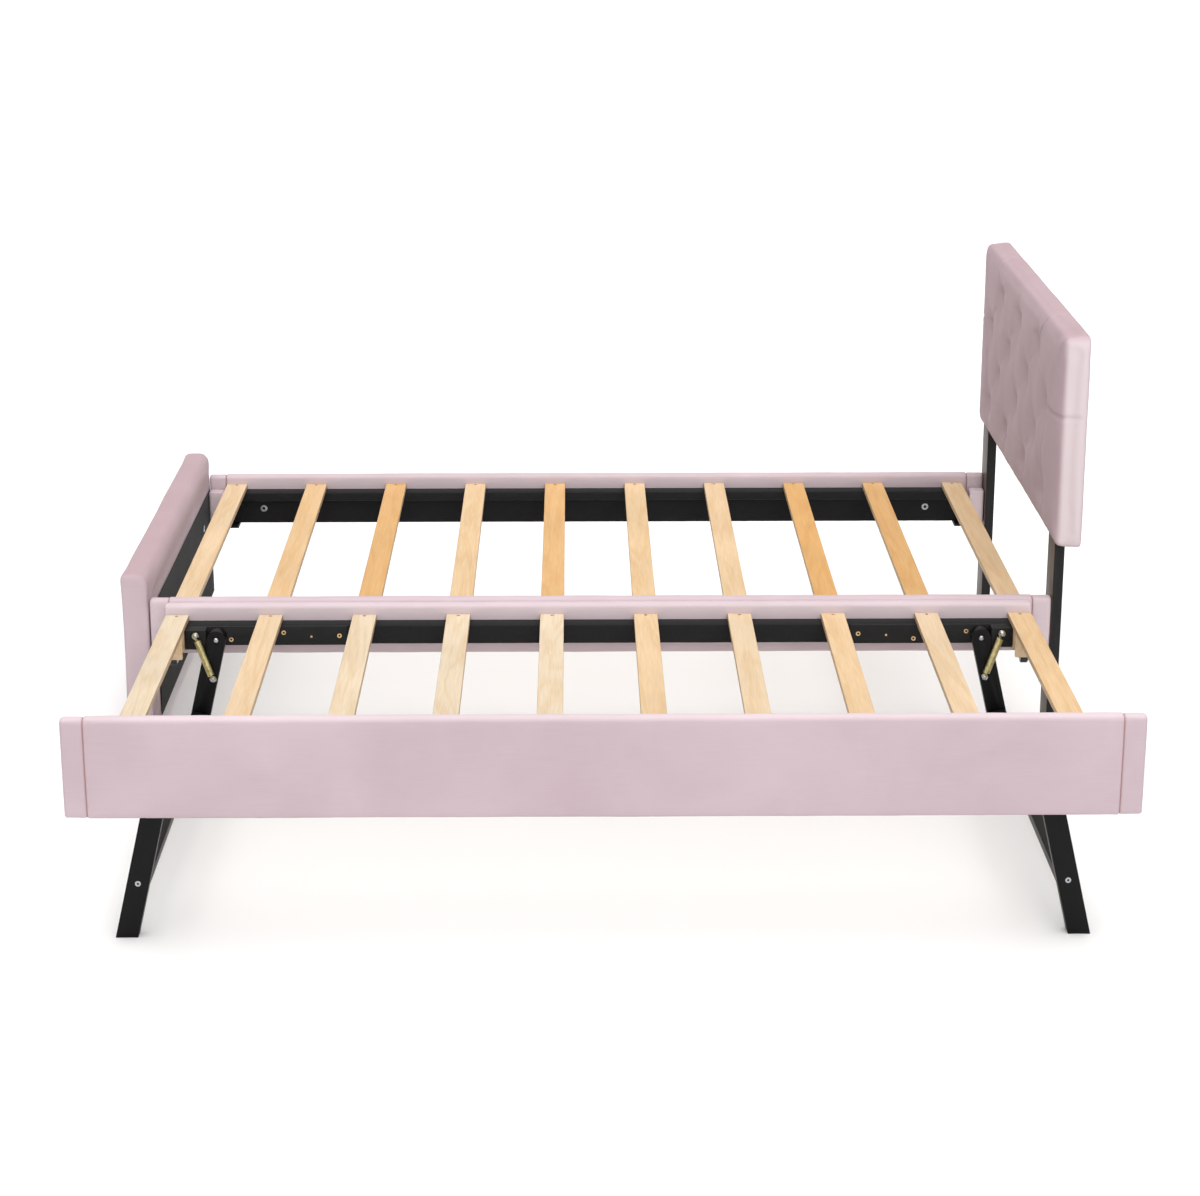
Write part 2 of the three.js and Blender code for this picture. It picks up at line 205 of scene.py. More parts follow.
# Glides. A turned black plastic foot is nailed under each end of the footboard.
def moulded(name, shade):
    material, tree, shader = new_material(name, 0.55)
    shader.inputs["Specular IOR Level"].default_value = 0.2
    place = node(tree, "ShaderNodeTexCoord")
    pebble = mottle(tree, place.outputs["Object"], 900.0, 3.0)
    scuff = mottle(tree, place.outputs["Object"], 45.0, 4.0)
    tint = node(tree, "ShaderNodeValToRGB", {"Fac": scuff.outputs["Fac"]})
    tint.color_ramp.elements[0].color = (shade * 0.7, shade * 0.7, shade * 0.7, 1)
    tint.color_ramp.elements[1].color = (shade * 1.6, shade * 1.6, shade * 1.6, 1)
    tree.links.new(tint.outputs["Color"], shader.inputs["Base Color"])
    embossed(tree, shader, pebble.outputs["Fac"], 0.3, 0.0002)
    return material


glide_plastic = moulded("glide_plastic", 0.02)
for side in ("near", "far"):
    dressed(f"{side}_foot", f"{side}_glide", "bed", glide_plastic, edge=0.002, sharp=30)


# Side rails. A board in thin foam, wrapped in dusty pink velvet and closed at each end by a sewn cap piece.
# The velvet pulls into a groove at each seam, and the cap sits a little lower than the long run.
BOARD_STEP = 0.010
GIRTH_STEP = 0.007
SEAM_FROM_END = 0.041
SEAM_DEPTH = 0.0024
SEAM_HALF_WIDTH = 0.0017
CAP_DROP = 0.0012
FOAM_CROWN = 0.0016
FOAM_INSET = 0.0010
END_ROUND = 0.006


def velvet_cloth(name, tone=(0.455, 0.355, 0.388)):
    """Short pile velvet: brushed patches, a faint rib from the loom, pile relief, and sheen at the edges.
    Its colour is mixed toward a pale painted highlight or a dark painted shade, by the way each vertex faces.
    """
    material, tree, shader = new_material(name, 0.78)
    shader.inputs["Sheen Weight"].default_value = 0.09
    shader.inputs["Sheen Roughness"].default_value = 0.4
    shader.inputs["Sheen Tint"].default_value = (1.0, 0.93, 0.94, 1)
    shader.inputs["Specular IOR Level"].default_value = 0.12
    place = node(tree, "ShaderNodeTexCoord")
    brushed = mottle(tree, place.outputs["Object"], 5.0, 4.0, 0.6)
    rib_space = stretched(tree, place.outputs["Object"], (14.0, 14.0, 520.0))
    rib = mottle(tree, rib_space.outputs["Vector"], 1.0, 2.0)
    pile = mottle(tree, place.outputs["Object"], 1600.0, 2.0)
    shades = node(tree, "ShaderNodeValToRGB", {"Fac": brushed.outputs["Fac"]})
    shades.color_ramp.elements[0].position = 0.3
    shades.color_ramp.elements[0].color = (tone[0] * 0.94, tone[1] * 0.93, tone[2] * 0.935, 1)
    shades.color_ramp.elements[1].position = 0.72
    shades.color_ramp.elements[1].color = (tone[0] * 1.05, tone[1] * 1.06, tone[2] * 1.065, 1)
    streak = node(tree, "ShaderNodeMapRange", {"Value": rib.outputs["Fac"], "To Min": 0.95, "To Max": 1.04})
    ribbed = node(tree, "ShaderNodeVectorMath", {0: shades.outputs["Color"], 1: streak.outputs["Result"]},
                  operation="MULTIPLY")
    # Painted light and shade: above 0 the colour is mixed toward pale (painted highlight), below 0 toward
    # dark (painted shade).
    painted_facing_shade = node(tree, "ShaderNodeAttribute", attribute_name="painted_facing_shade")
    painted_lit_share = node(tree, "ShaderNodeMath", {0: painted_facing_shade.outputs["Fac"], 1: 0.0}, operation="MAXIMUM")
    painted_lit = node(tree, "ShaderNodeMix", {
        "Factor": painted_lit_share.outputs["Value"], "A": ribbed.outputs["Vector"], "B": (0.70, 0.63, 0.64, 1)},
        data_type="RGBA")
    negated_facing_shade = node(tree, "ShaderNodeMath", {0: painted_facing_shade.outputs["Fac"], 1: -1.0}, operation="MULTIPLY")
    painted_shade_share = node(tree, "ShaderNodeMath", {0: negated_facing_shade.outputs["Value"], 1: 0.0}, operation="MAXIMUM")
    painted_shaded = node(tree, "ShaderNodeMix", {
        "Factor": painted_shade_share.outputs["Value"], "A": painted_lit.outputs["Result"], "B": (0.34, 0.235, 0.245, 1)},
        data_type="RGBA")
    seam = node(tree, "ShaderNodeAttribute", attribute_name="seam")
    sewn = node(tree, "ShaderNodeMix", {
        "Factor": seam.outputs["Fac"], "A": painted_shaded.outputs["Result"], "B": (0.27, 0.13, 0.11, 1)},
        data_type="RGBA")
    fuzz = node(tree, "ShaderNodeMath", {0: pile.outputs["Fac"], 1: rib.outputs["Fac"]}, operation="ADD")
    tree.links.new(sewn.outputs["Result"], shader.inputs["Base Color"])
    embossed(tree, shader, fuzz.outputs["Value"], 0.35, 0.0004)
    return material


def rounded_section(low_u, high_u, low_v, high_v, radii, step):
    """Points round a rectangle whose corners have radii of their own.
    Each is (u, v, out_u, out_v, flat), where flat is 1 in the middle of a straight side and 0 at its ends."""
    corners = ((low_u, low_v, 1, 1), (high_u, low_v, -1, 1), (high_u, high_v, -1, -1), (low_u, high_v, 1, -1))
    arcs = []
    for i, (u, v, in_u, in_v) in enumerate(corners):
        radius = radii[i]
        centre = (u + in_u * radius, v + in_v * radius)
        count = max(3, round(radius * math.pi / 2 / (step * 0.45)))
        arc = []
        for k in range(count + 1):
            angle = math.pi * (1 + i / 2) + math.pi / 2 * k / count
            out = (math.cos(angle), math.sin(angle))
            arc.append((centre[0] + radius * out[0], centre[1] + radius * out[1], out[0], out[1], 0.0))
        arcs.append(arc)
    points = []
    for i, arc in enumerate(arcs):
        points += arc
        start, stop = arc[-1], arcs[(i + 1) % 4][0]
        span = math.hypot(stop[0] - start[0], stop[1] - start[1])
        count = max(1, round(span / step))
        for k in range(1, count):
            t = k / count
            points.append((start[0] + (stop[0] - start[0]) * t, start[1] + (stop[1] - start[1]) * t,
                           start[2], start[3], 4 * t * (1 - t)))
    return points


def stations(low, high, seams, step):
    """Places along a bar: even steps, with close ones at its round ends and on both sides of each seam."""
    count = round((high - low) / step)
    places = {round(low + (high - low) * k / count, 5) for k in range(count + 1)}
    for end, inward in ((low, 1), (high, -1)):
        places |= {round(end + inward * END_ROUND * share, 5) for share in (0.08, 0.25, 0.5, 0.75, 1.0)}
    for seam in seams:
        places |= {round(seam + offset, 5) for offset in (-0.006, -0.003, -0.0016, 0.0, 0.0016, 0.003, 0.006)}
    kept = []
    for place in sorted(places):
        if not kept or place - kept[-1] > 0.0003:
            kept.append(place)
    return kept


def padded_bar(name, section, low, high, seams, place, phase=0.0):
    """Lofts a padded section along a bar. place(s, u, v) gives a point, and an attribute marks the seams."""
    runs = stations(low, high, seams, BOARD_STEP)
    verts, faces, sewn = [], [], []
    for s in runs:
        from_end = min(s - low, high - s)
        shrink = END_ROUND - math.sqrt(max(0.0, END_ROUND**2 - max(0.0, END_ROUND - from_end) ** 2))
        cap = any(abs(s - low) < abs(seam - low) and abs(seam - low) < 0.1 for seam in seams) or any(
            abs(s - high) < abs(seam - high) and abs(seam - high) < 0.1 for seam in seams)
        nearest = min((abs(s - seam) for seam in seams), default=1.0)
        groove = math.exp(-((nearest / SEAM_HALF_WIDTH) ** 2))
        gather = math.exp(-nearest / 0.016)
        for k, (u, v, out_u, out_v, flat) in enumerate(section):
            ripple = noise.noise(Vector((s * 9 + phase, u * 22, v * 22))) * 0.0007
            fine = noise.noise(Vector((s * 42, u * 30 + phase, v * 30))) * 0.0003
            pucker = gather * 0.0005 * math.sin(k * 1.9 + phase)
            out = (FOAM_CROWN * flat**0.5 - FOAM_INSET + ripple + fine + pucker - shrink
                   - SEAM_DEPTH * groove - (CAP_DROP if cap else 0.0))
            verts.append(place(s, u + out_u * out, v + out_v * out))
            sewn.append(max(0.0, (groove - 0.35) / 0.65))
    around = len(section)
    for i in range(len(runs) - 1):
        for k in range(around):
            faces.append((i * around + k, i * around + (k + 1) % around, (i + 1) * around + (k + 1) % around,
                          (i + 1) * around + k))
    faces.append(tuple(range(around - 1, -1, -1)))
    faces.append(tuple((len(runs) - 1) * around + k for k in range(around)))
    mesh = mesh_from(name, verts, faces)
    mesh.attributes.new("seam", "FLOAT", "POINT").data.foreach_set("value", sewn)
    outward(mesh)
    mesh.polygons.foreach_set("use_smooth", [len(p.vertices) == 4 for p in mesh.polygons])
    return mesh


def paint_facing_shade(mesh, side, top, front=0.0):
    """Stores painted light and shade for each vertex from the way it faces, weighted on the sides, top and
    front: above 0 the velvet is painted paler and lighter, below 0 darker.
    """
    values = []
    for v in mesh.vertices:
        values.append(side * v.normal.y**2 + top * max(0.0, v.normal.z) ** 2 + front * v.normal.x**2)
    mesh.attributes.new("painted_facing_shade", "FLOAT", "POINT").data.foreach_set("value", values)


def outward(mesh):
    bm = bmesh.new()
    bm.from_mesh(mesh)
    bmesh.ops.recalc_face_normals(bm, faces=bm.faces)
    bm.to_mesh(mesh)
    bm.free()


def along_x(s, u, v):
    return (s, u, v)


def upholstered(name, node_name, body, radii, seam_from_end, phase, painted_facing_shade):
    """A velvet covered board along X, in the place of its node."""
    low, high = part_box(node_name)
    section = rounded_section(low.y, high.y, low.z, high.z, radii, GIRTH_STEP)
    seams = (low.x + seam_from_end, high.x - seam_from_end) if seam_from_end else ()
    piece = new_object(name, padded_bar(name, section, low.x, high.x, seams, along_x, phase), [pink_velvet])
    # Painted light and shade by facing on the cover, with the weights given.
    paint_facing_shade(piece.data, *painted_facing_shade)
    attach(piece, body)
    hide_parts(node_name)
    return piece


pink_velvet = velvet_cloth("pink_velvet")
RAIL_ROUND = (0.005, 0.005, 0.010, 0.010)
# Painted light and shade on the rail covers: sides painted lighter, tops a little lighter.
RAIL_FACING_SHADE = (0.36, 0.08)
for side, phase in (("near", 1.3), ("far", 4.1)):
    upholstered(f"{side}_rail_cover", f"{side}_side_rail", "bed", RAIL_ROUND, SEAM_FROM_END, phase, RAIL_FACING_SHADE)


# Corner blocks. At both ends of each side rail a short velvet covered block takes the bolts of the corner.
CORNER_BLOCK_LENGTH = 0.037
CORNER_BLOCK_GAP = 0.0012


def corner_block(name, low, high, phase):
    section = rounded_section(low.y, high.y, low.z, high.z, (0.003,) * 4, GIRTH_STEP)
    piece = new_object(name, padded_bar(name, section, low.x, high.x, (), along_x, phase), [pink_velvet])
    # Painted light and shade by facing, as on the rails.
    paint_facing_shade(piece.data, *RAIL_FACING_SHADE)
    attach(piece, "bed")


for side in ("near", "far"):
    rail_low, rail_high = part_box(f"{side}_side_rail")
    cleat_low, cleat_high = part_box(f"{side}_ledger")
    top = cleat_high.z
    for end, low_x in (("foot", rail_low.x + CORNER_BLOCK_GAP),
                       ("head", rail_high.x - CORNER_BLOCK_GAP - CORNER_BLOCK_LENGTH)):
        corner_block(f"{side}_{end}_corner_block",
                     Vector((low_x, cleat_low.y, rail_low.z + 0.004)),
                     Vector((low_x + CORNER_BLOCK_LENGTH, cleat_high.y, top)), low_x)


# Cleats. A wooden strip inside each long side, wrapped in thin black lining cloth that is stapled on the rail
# under it and hangs in shallow waves down to the rail's lower edge.
LINING = 0.0010
LINING_STEP = 0.009


def lining_cloth(name):
    material, tree, shader = new_material(name, 0.85)
    shader.inputs["Sheen Weight"].default_value = 0.04
    shader.inputs["Sheen Roughness"].default_value = 0.5
    shader.inputs["Specular IOR Level"].default_value = 0.15
    place = node(tree, "ShaderNodeTexCoord")
    fibre_space = stretched(tree, place.outputs["Object"], (240.0, 500.0, 500.0))
    fibre = mottle(tree, fibre_space.outputs["Vector"], 1.0, 4.0, 1.2)
    pressed = node(tree, "ShaderNodeTexVoronoi", {"Vector": place.outputs["Object"], "Scale": 420.0})
    tint = node(tree, "ShaderNodeValToRGB", {"Fac": fibre.outputs["Fac"]})
    tint.color_ramp.elements[0].color = (0.005, 0.005, 0.0055, 1)
    tint.color_ramp.elements[1].color = (0.017, 0.017, 0.018, 1)
    height = node(tree, "ShaderNodeMath", {0: fibre.outputs["Fac"], 1: pressed.outputs["Distance"]},
                  operation="ADD")
    tree.links.new(tint.outputs["Color"], shader.inputs["Base Color"])
    embossed(tree, shader, height.outputs["Value"], 0.4, 0.0003)
    return material


black_lining = lining_cloth("black_lining")


def lined_cleat(name, node_name, rail_name, body, wave):
    """The cleat and the lining on it: one closed section, which waves where the cloth hangs free."""
    low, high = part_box(node_name)
    rail_low, rail_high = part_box(rail_name)
    inner_is_high = high.y < (rail_low.y + rail_high.y) / 2
    back, front = (high.y, low.y) if inner_is_high else (low.y, high.y)
    toward = 1.0 if front > back else -1.0
    inset = 0.0006
    top, bottom, hem = high.z - inset, low.z + inset, rail_low.z + 0.002
    front_face = front - toward * inset
    hang = back + toward * 0.0022
    hanging = bottom - hem
    outline = [(back, top, 0.0), (back + toward * 0.008, top, 0.2), (front_face - toward * 0.004, top, 0.2),
               (front_face, top - 0.003, 0.1), (front_face, (top + bottom) / 2, 0.3),
               (front_face, bottom + 0.002, 0.3), (front_face - toward * 0.004, bottom, 0.5),
               (hang + toward * 0.004, bottom - 0.001, 0.6), (hang, bottom - hanging * 0.3, 1.0),
               (hang, bottom - hanging * 0.65, 0.8), (hang - toward * 0.001, hem, 0.3), (back, hem, 0.0)]
    count = round((high.x - low.x) / LINING_STEP)
    verts, faces = [], []
    for i in range(count + 1):
        x = low.x + (high.x - low.x) * i / count
        for k, (y, z, loose) in enumerate(outline):
            swell = wave * loose * (0.5 + noise.noise(Vector((x * 26, k * 0.35, low.y * 3))))
            dip = wave * loose * 0.4 * noise.noise(Vector((x * 60, k * 0.6, low.y * 5)))
            verts.append((x, y + toward * max(0.0, swell), z + dip))
    around = len(outline)
    for i in range(count):
        for k in range(around):
            faces.append((i * around + k, i * around + (k + 1) % around, (i + 1) * around + (k + 1) % around,
                          (i + 1) * around + k))
    faces.append(tuple(range(around - 1, -1, -1)))
    faces.append(tuple(count * around + k for k in range(around)))
    mesh = mesh_from(name, verts, faces)
    outward(mesh)
    mesh.polygons.foreach_set("use_smooth", [len(p.vertices) == 4 for p in mesh.polygons])
    mesh.set_sharp_from_angle(angle=math.radians(50))
    piece = new_object(name, mesh, [black_lining])
    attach(piece, body)
    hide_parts(node_name)


for side in ("near", "far"):
    lined_cleat(f"{side}_cleat_and_lining", f"{side}_ledger", f"{side}_side_rail", "bed", 0.0022)


# Footboard. A tall padded board that stands above the rails. Its velvet is pulled over thick wadding on the
# inner top edge, and black lining covers the inner face below the mattress.
PAD_VOXEL = 0.006
PAD_PRESSURE = 4.0
SIM_FRAMES = 20


def evaluated_mesh(piece):
    depsgraph = bpy.context.evaluated_depsgraph_get()
    return bpy.data.meshes.new_from_object(piece.evaluated_get(depsgraph))


def moved_verts(mesh, move):
    """Puts every vertex where move(place, normal) says, all at once."""
    flat = []
    for v in mesh.vertices:
        flat.extend(move(v.co, v.normal))
    mesh.vertices.foreach_set("co", flat)
    mesh.update()


def remeshed(piece, voxel):
    modifier = piece.modifiers.new("remesh", "REMESH")
    modifier.mode = "VOXEL"
    modifier.voxel_size = voxel
    mesh = evaluated_mesh(piece)
    piece.modifiers.clear()
    old = piece.data
    piece.data = mesh
    bpy.data.meshes.remove(old)


def relaxed(piece, rounds):
    """Evens out the cover's skin, the way taut cloth does over wadding."""
    modifier = piece.modifiers.new("relax", "SMOOTH")
    modifier.factor = 0.5
    modifier.iterations = rounds
    mesh = evaluated_mesh(piece)
    piece.modifiers.clear()
    old = piece.data
    piece.data = mesh
    bpy.data.meshes.remove(old)


def inflate(piece, held, cap):
    """Swells a padded cover as cloth under pressure. held(point) says where it is stapled or tufted."""
    rest = [v.co.copy() for v in piece.data.vertices]
    group = piece.vertex_groups.new(name="held")
    group.add([i for i, co in enumerate(rest) if held(co)], 1.0, "REPLACE")
    cloth = piece.modifiers.new("cloth", "CLOTH")
    cloth.settings.quality = 4
    cloth.settings.mass = 0.35
    cloth.settings.use_pressure = True
    cloth.settings.uniform_pressure_force = PAD_PRESSURE
    cloth.settings.vertex_group_mass = "held"
    cloth.settings.effector_weights.gravity = 0.0
    cloth.collision_settings.use_collision = False
    cloth.point_cache.frame_start = 1
    cloth.point_cache.frame_end = SIM_FRAMES
    for step in range(1, SIM_FRAMES + 1):
        scene.frame_set(step)
    mesh = evaluated_mesh(piece)
    piece.modifiers.clear()
    starts = iter(rest)

    def capped(co, _):
        start = next(starts)
        moved = co - start
        return start + moved * min(1.0, cap / max(moved.length, 1e-9))

    moved_verts(mesh, capped)
    old = piece.data
    piece.data = mesh
    bpy.data.meshes.remove(old)
    piece.vertex_groups.clear()
    scene.frame_set(1)


def rounded_block(name, section_axis, low, high, radii, step):
    """A closed block whose section has round corners of its own: the section lies across X or across Y."""
    if section_axis == "X":
        section = rounded_section(low.y, high.y, low.z, high.z, radii, step)
        ends = (low.x, high.x)
    else:
        section = rounded_section(low.x, high.x, low.z, high.z, radii, step)
        ends = (low.y, high.y)
    verts = [(s, u, v) if section_axis == "X" else (u, s, v) for s in ends for u, v, *_ in section]
    around = len(section)
    faces = [(k, (k + 1) % around, around + (k + 1) % around, around + k) for k in range(around)]
    faces += [tuple(range(around - 1, -1, -1)), tuple(range(around, 2 * around))]
    mesh = mesh_from(name, verts, faces)
    outward(mesh)
    return mesh


low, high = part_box("footboard")
shrunk = 0.0025
foot_pad = new_object("footboard_cover", rounded_block(
    "footboard_cover", "Y", low + Vector((shrunk, shrunk, shrunk)), high - Vector((0.002, shrunk, shrunk)),
    (0.005, 0.005, 0.021, 0.010), 0.01), [pink_velvet])
soft_ends = foot_pad.modifiers.new("ends", "BEVEL")
soft_ends.width = 0.007
soft_ends.segments = 3
soft_ends.limit_method = "ANGLE"
soft_ends.angle_limit = math.radians(60)
remeshed(foot_pad, PAD_VOXEL)
inner_face = high.x - 0.004
lining_top = 0.31
FOOT_SWELL = 0.0022


def stapled_below(co):
    return co.z < low.z + 0.012 or (co.x > inner_face - 0.002 and co.z < lining_top)


inflate(foot_pad, stapled_below, FOOT_SWELL)
relaxed(foot_pad, 4)


def plumped(co, normal):
    """A fuller lip along the inner top edge, where the wadding is thickest, and a faint drape."""
    lip = 0.0028 * max(0.0, normal.x) * math.exp(-(((co.z - high.z + 0.034) / 0.022) ** 2))
    return co + normal * (noise.noise(Vector((co.y * 7, co.z * 12, 2.0))) * 0.0009 + lip)


moved_verts(foot_pad.data, plumped)
foot_pad.data.polygons.foreach_set("use_smooth", [True] * len(foot_pad.data.polygons))
foot_pad.data.attributes.new("seam", "FLOAT", "POINT")
# Painted light and shade: sides painted a little lighter, the top painted darker, the ends a little darker.
paint_facing_shade(foot_pad.data, 0.18, -0.62, -0.1)
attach(foot_pad, "bed")
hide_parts("footboard")


def lining_panel(name, x, low_y, high_y, low_z, high_z, seed, thick=LINING, wave=0.0009):
    """A thin stapled sheet of lining on a face that looks along X: a closed skin with a faint billow."""
    columns, rows = round((high_y - low_y) / 0.012), round((high_z - low_z) / 0.012)
    verts, faces = [], []
    for i in range(columns + 1):
        for j in range(rows + 1):
            y = low_y + (high_y - low_y) * i / columns
            z = low_z + (high_z - low_z) * j / rows
            edge = min(i, columns - i, j, rows - j) / 3
            billow = wave * min(1.0, edge) * (0.6 + noise.noise(Vector((y * 11 + seed, z * 15, 0.4))))
            verts.append((x + thick + max(0.0, billow), y, z))
    front_count = len(verts)
    verts += [(x, y, z) for _, y, z in verts]
    for i in range(columns):
        for j in range(rows):
            a = i * (rows + 1) + j
            quad = (a, a + rows + 1, a + rows + 2, a + 1)
            faces.append(quad)
            faces.append(tuple(front_count + q for q in reversed(quad)))
    rim = ([i * (rows + 1) for i in range(columns + 1)]
           + [columns * (rows + 1) + j for j in range(1, rows + 1)]
           + [i * (rows + 1) + rows for i in range(columns - 1, -1, -1)]
           + [j for j in range(rows - 1, 0, -1)])
    for k, a in enumerate(rim):
        b = rim[(k + 1) % len(rim)]
        faces.append((b, a, front_count + a, front_count + b))
    mesh = mesh_from(name, verts, faces)
    outward(mesh)
    mesh.polygons.foreach_set("use_smooth", [True] * len(mesh.polygons))
    mesh.set_sharp_from_angle(angle=math.radians(50))
    piece = new_object(name, mesh, [black_lining])
    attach(piece, "bed")
    return piece


LINING_MARGIN = 0.03
lining_panel("footboard_lining", high.x - 0.0005, low.y + 0.105, high.y - LINING_MARGIN, low.z + 0.012,
             lining_top - 0.004, seed=2.0)


# Corner plates. Under each end of a side rail a small black steel plate with round corners ties the rail
# to the block inside it. It is screwed up from below and shows past the rail's lower edge.
PLATE_LENGTH = 0.036
PLATE_FROM_END = {"near": 0.036, "far": 0.054}
PLATE_THICK = 0.0040
plate_coat = moulded("plate_coat", 0.005)
for side in ("near", "far"):
    rail_low, rail_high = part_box(f"{side}_side_rail")
    cleat_low, cleat_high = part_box(f"{side}_ledger")
    inner_y = cleat_high.y if side == "near" else cleat_low.y
    outer_y = (rail_low.y + rail_high.y) / 2
    from_end = PLATE_FROM_END[side]
    for end, middle_x in (("foot", rail_low.x + from_end), ("head", rail_high.x - from_end)):
        name = f"{side}_{end}_corner_plate"
        plate_low = Vector((middle_x - PLATE_LENGTH / 2, min(inner_y, outer_y), rail_low.z - PLATE_THICK))
        plate_high = Vector((middle_x + PLATE_LENGTH / 2, max(inner_y, outer_y), rail_low.z + 0.0035))
        plate = new_object(name, rounded_block(
            name, "X", plate_low, plate_high, (0.003, 0.003, 0.001, 0.001), 0.004), [plate_coat])
        plate.data.polygons.foreach_set("use_smooth", [True] * len(plate.data.polygons))
        plate.data.set_sharp_from_angle(angle=math.radians(40))
        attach(plate, "bed")


# Headboard. A board with thick foam under velvet, drawn in at staggered tufts so that the face stands up in
# soft diamonds. Pleats run from the outer tufts over the top, bottom and sides; black lining closes the back.
TUFT_PITCH_Y = 0.135
TUFT_PITCH_Z = 0.095
TOP_TUFT_DROP = 0.085
TUFT_ROWS = 4
TUFT_DEPTH = 0.014
TUFT_RADIUS = 0.021
DIAMOND_DEPTH = 0.0026
DIAMOND_CREASE = 0.0013
PINCH_DEPTH = 0.0065
PINCH_RADIUS = 0.0085
PLEAT_DEPTH = 0.0032
PLEAT_HALF_WIDTH = 0.0042
FACE_CROWN = 0.012
CROWN_MARGIN = 0.13
HEAD_VOXEL = 0.005

low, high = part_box("headboard")
mid_y = (low.y + high.y) / 2
top_row = high.z - TOP_TUFT_DROP
bottom_row = top_row - (TUFT_ROWS - 1) * TUFT_PITCH_Z
front_x = low.x


def smooth(value, start, stop):
    t = max(0.0, min(1.0, (value - start) / (stop - start)))
    return t * t * (3 - 2 * t)


def tufts():
    places = []
    for row in range(TUFT_ROWS):
        offsets = (-2, 0, 2) if row % 2 == 0 else (-3, -1, 1, 3)
        places += [(mid_y + o * TUFT_PITCH_Y, top_row - row * TUFT_PITCH_Z) for o in offsets]
    return places


TUFTS = tufts()


def lattice(y, z):
    """Distance in metres to the nearest diamond line, and how far along it the nearest tuft is, 0 to 1."""
    a = (y - mid_y) / TUFT_PITCH_Y
    b = (z - top_row) / TUFT_PITCH_Z
    p, q = (a + b) / 2, (a - b) / 2
    cell = math.hypot(TUFT_PITCH_Y, TUFT_PITCH_Z)
    across = 2 * TUFT_PITCH_Y * TUFT_PITCH_Z / cell
    off_p, off_q = abs(p - round(p)), abs(q - round(q))
    line = min(off_p, off_q) * across
    along = (off_q if off_p < off_q else off_p) * 2
    return line, along, abs(math.sin(math.pi * p) * math.sin(math.pi * q))


def crown(y, z):
    """How far the face lies back near the edges of the board."""
    from_edge = min(y - low.y, high.y - y, z - low.z, high.z - z)
    return FACE_CROWN * (1 - smooth(from_edge, -0.02, CROWN_MARGIN)) ** 1.5


def tufted_depth(y, z, sharp):
    """How far the face is drawn in. sharp adds the narrow creases and pinches round the tufts."""
    inside = smooth(z, bottom_row - 0.06, bottom_row) * (1 - smooth(z, top_row, top_row + 0.06))
    inside *= 1 - smooth(abs(y - mid_y), 3 * TUFT_PITCH_Y, 3 * TUFT_PITCH_Y + 0.08)
    line, along, swell = lattice(y, z)
    near_y, near_z = min(TUFTS, key=lambda t: (y - t[0]) ** 2 + (z - t[1]) ** 2)
    near = math.hypot(y - near_y, (z - near_z) * 0.8)
    if sharp:
        crease = DIAMOND_CREASE * math.exp(-((line / 0.006) ** 2)) * max(0.0, 1 - 1.6 * along) * inside
        above = math.exp(-(((z - near_z - 0.006) / 0.007) ** 2)) * math.exp(-(((y - near_y) / 0.020) ** 2))
        return crease + PINCH_DEPTH * math.exp(-((near / PINCH_RADIUS) ** 2)) + 0.0016 * above
    bowl = TUFT_DEPTH * math.exp(-((near / TUFT_RADIUS) ** 1.6))
    return bowl + DIAMOND_DEPTH * (1 - swell**0.6) * inside


head = new_object("headboard_cover", rounded_block(
    "headboard_cover", "X", low + Vector((0.003, 0.003, 0.003)), high - Vector((0.0010, 0.003, 0.003)),
    (0.010, 0.010, 0.014, 0.014), 0.008), [pink_velvet])
bm = bmesh.new()
bm.from_mesh(head.data)
front_rim = [e for e in bm.edges if all(v.co.x < front_x + 0.01 for v in e.verts)]
bmesh.ops.bevel(bm, geom=front_rim, offset=0.024, segments=6, affect="EDGES", profile=0.5, clamp_overlap=True)
bm.to_mesh(head.data)
bm.free()
remeshed(head, HEAD_VOXEL)


def drawn_in(co, _):
    if co.x > front_x + 0.035:
        return co
    depth = tufted_depth(co.y, co.z, sharp=False) + crown(co.y, co.z)
    return co + Vector((depth * (1 - smooth(co.x, front_x + 0.010, front_x + 0.035)), 0, 0))


moved_verts(head.data, drawn_in)


def stapled_or_tufted(co):
    if co.x > high.x - 0.006:
        return True
    return co.x < front_x + 0.05 and min(math.hypot(co.y - ty, co.z - tz) for ty, tz in TUFTS) < 0.008


inflate(head, stapled_or_tufted, 0.0032)
relaxed(head, 6)


def pleat_depth(co):
    """Pleats from the outer tufts, straight out over the edge of the board, and a raised lip beside each."""
    lines = []
    if co.z > top_row:
        fan = 1 + 0.25 * min(1.0, (co.z - top_row) / TOP_TUFT_DROP)
        lines += [abs(co.y - mid_y - o * TUFT_PITCH_Y * fan) for o in (-2, 2)]
    if co.z < bottom_row:
        lines += [abs(co.y - mid_y - o * TUFT_PITCH_Y) for o in (-3, -1, 1, 3)]
    if abs(co.y - mid_y) > 3.3 * TUFT_PITCH_Y:
        lines.append(abs(co.z - (top_row - TUFT_PITCH_Z) - 0.004))
    if not lines:
        return 0.0
    away = min(lines)
    lip = 0.0007 * math.exp(-(((away - 2.2 * PLEAT_HALF_WIDTH) / PLEAT_HALF_WIDTH) ** 2))
    return PLEAT_DEPTH * math.exp(-((away / PLEAT_HALF_WIDTH) ** 2)) - lip


def pleated(co, normal):
    depth = pleat_depth(co) * (1 - smooth(co.x, high.x - 0.02, high.x - 0.004))
    if co.x < front_x + 0.04:
        depth += tufted_depth(co.y, co.z, sharp=True)
    drape = noise.noise(Vector((co.x * 30, co.y * 9, co.z * 9))) * 0.0010
    return co - normal * (depth + drape)


moved_verts(head.data, pleated)
head.data.polygons.foreach_set("use_smooth", [True] * len(head.data.polygons))
head.data.attributes.new("seam", "FLOAT", "POINT")
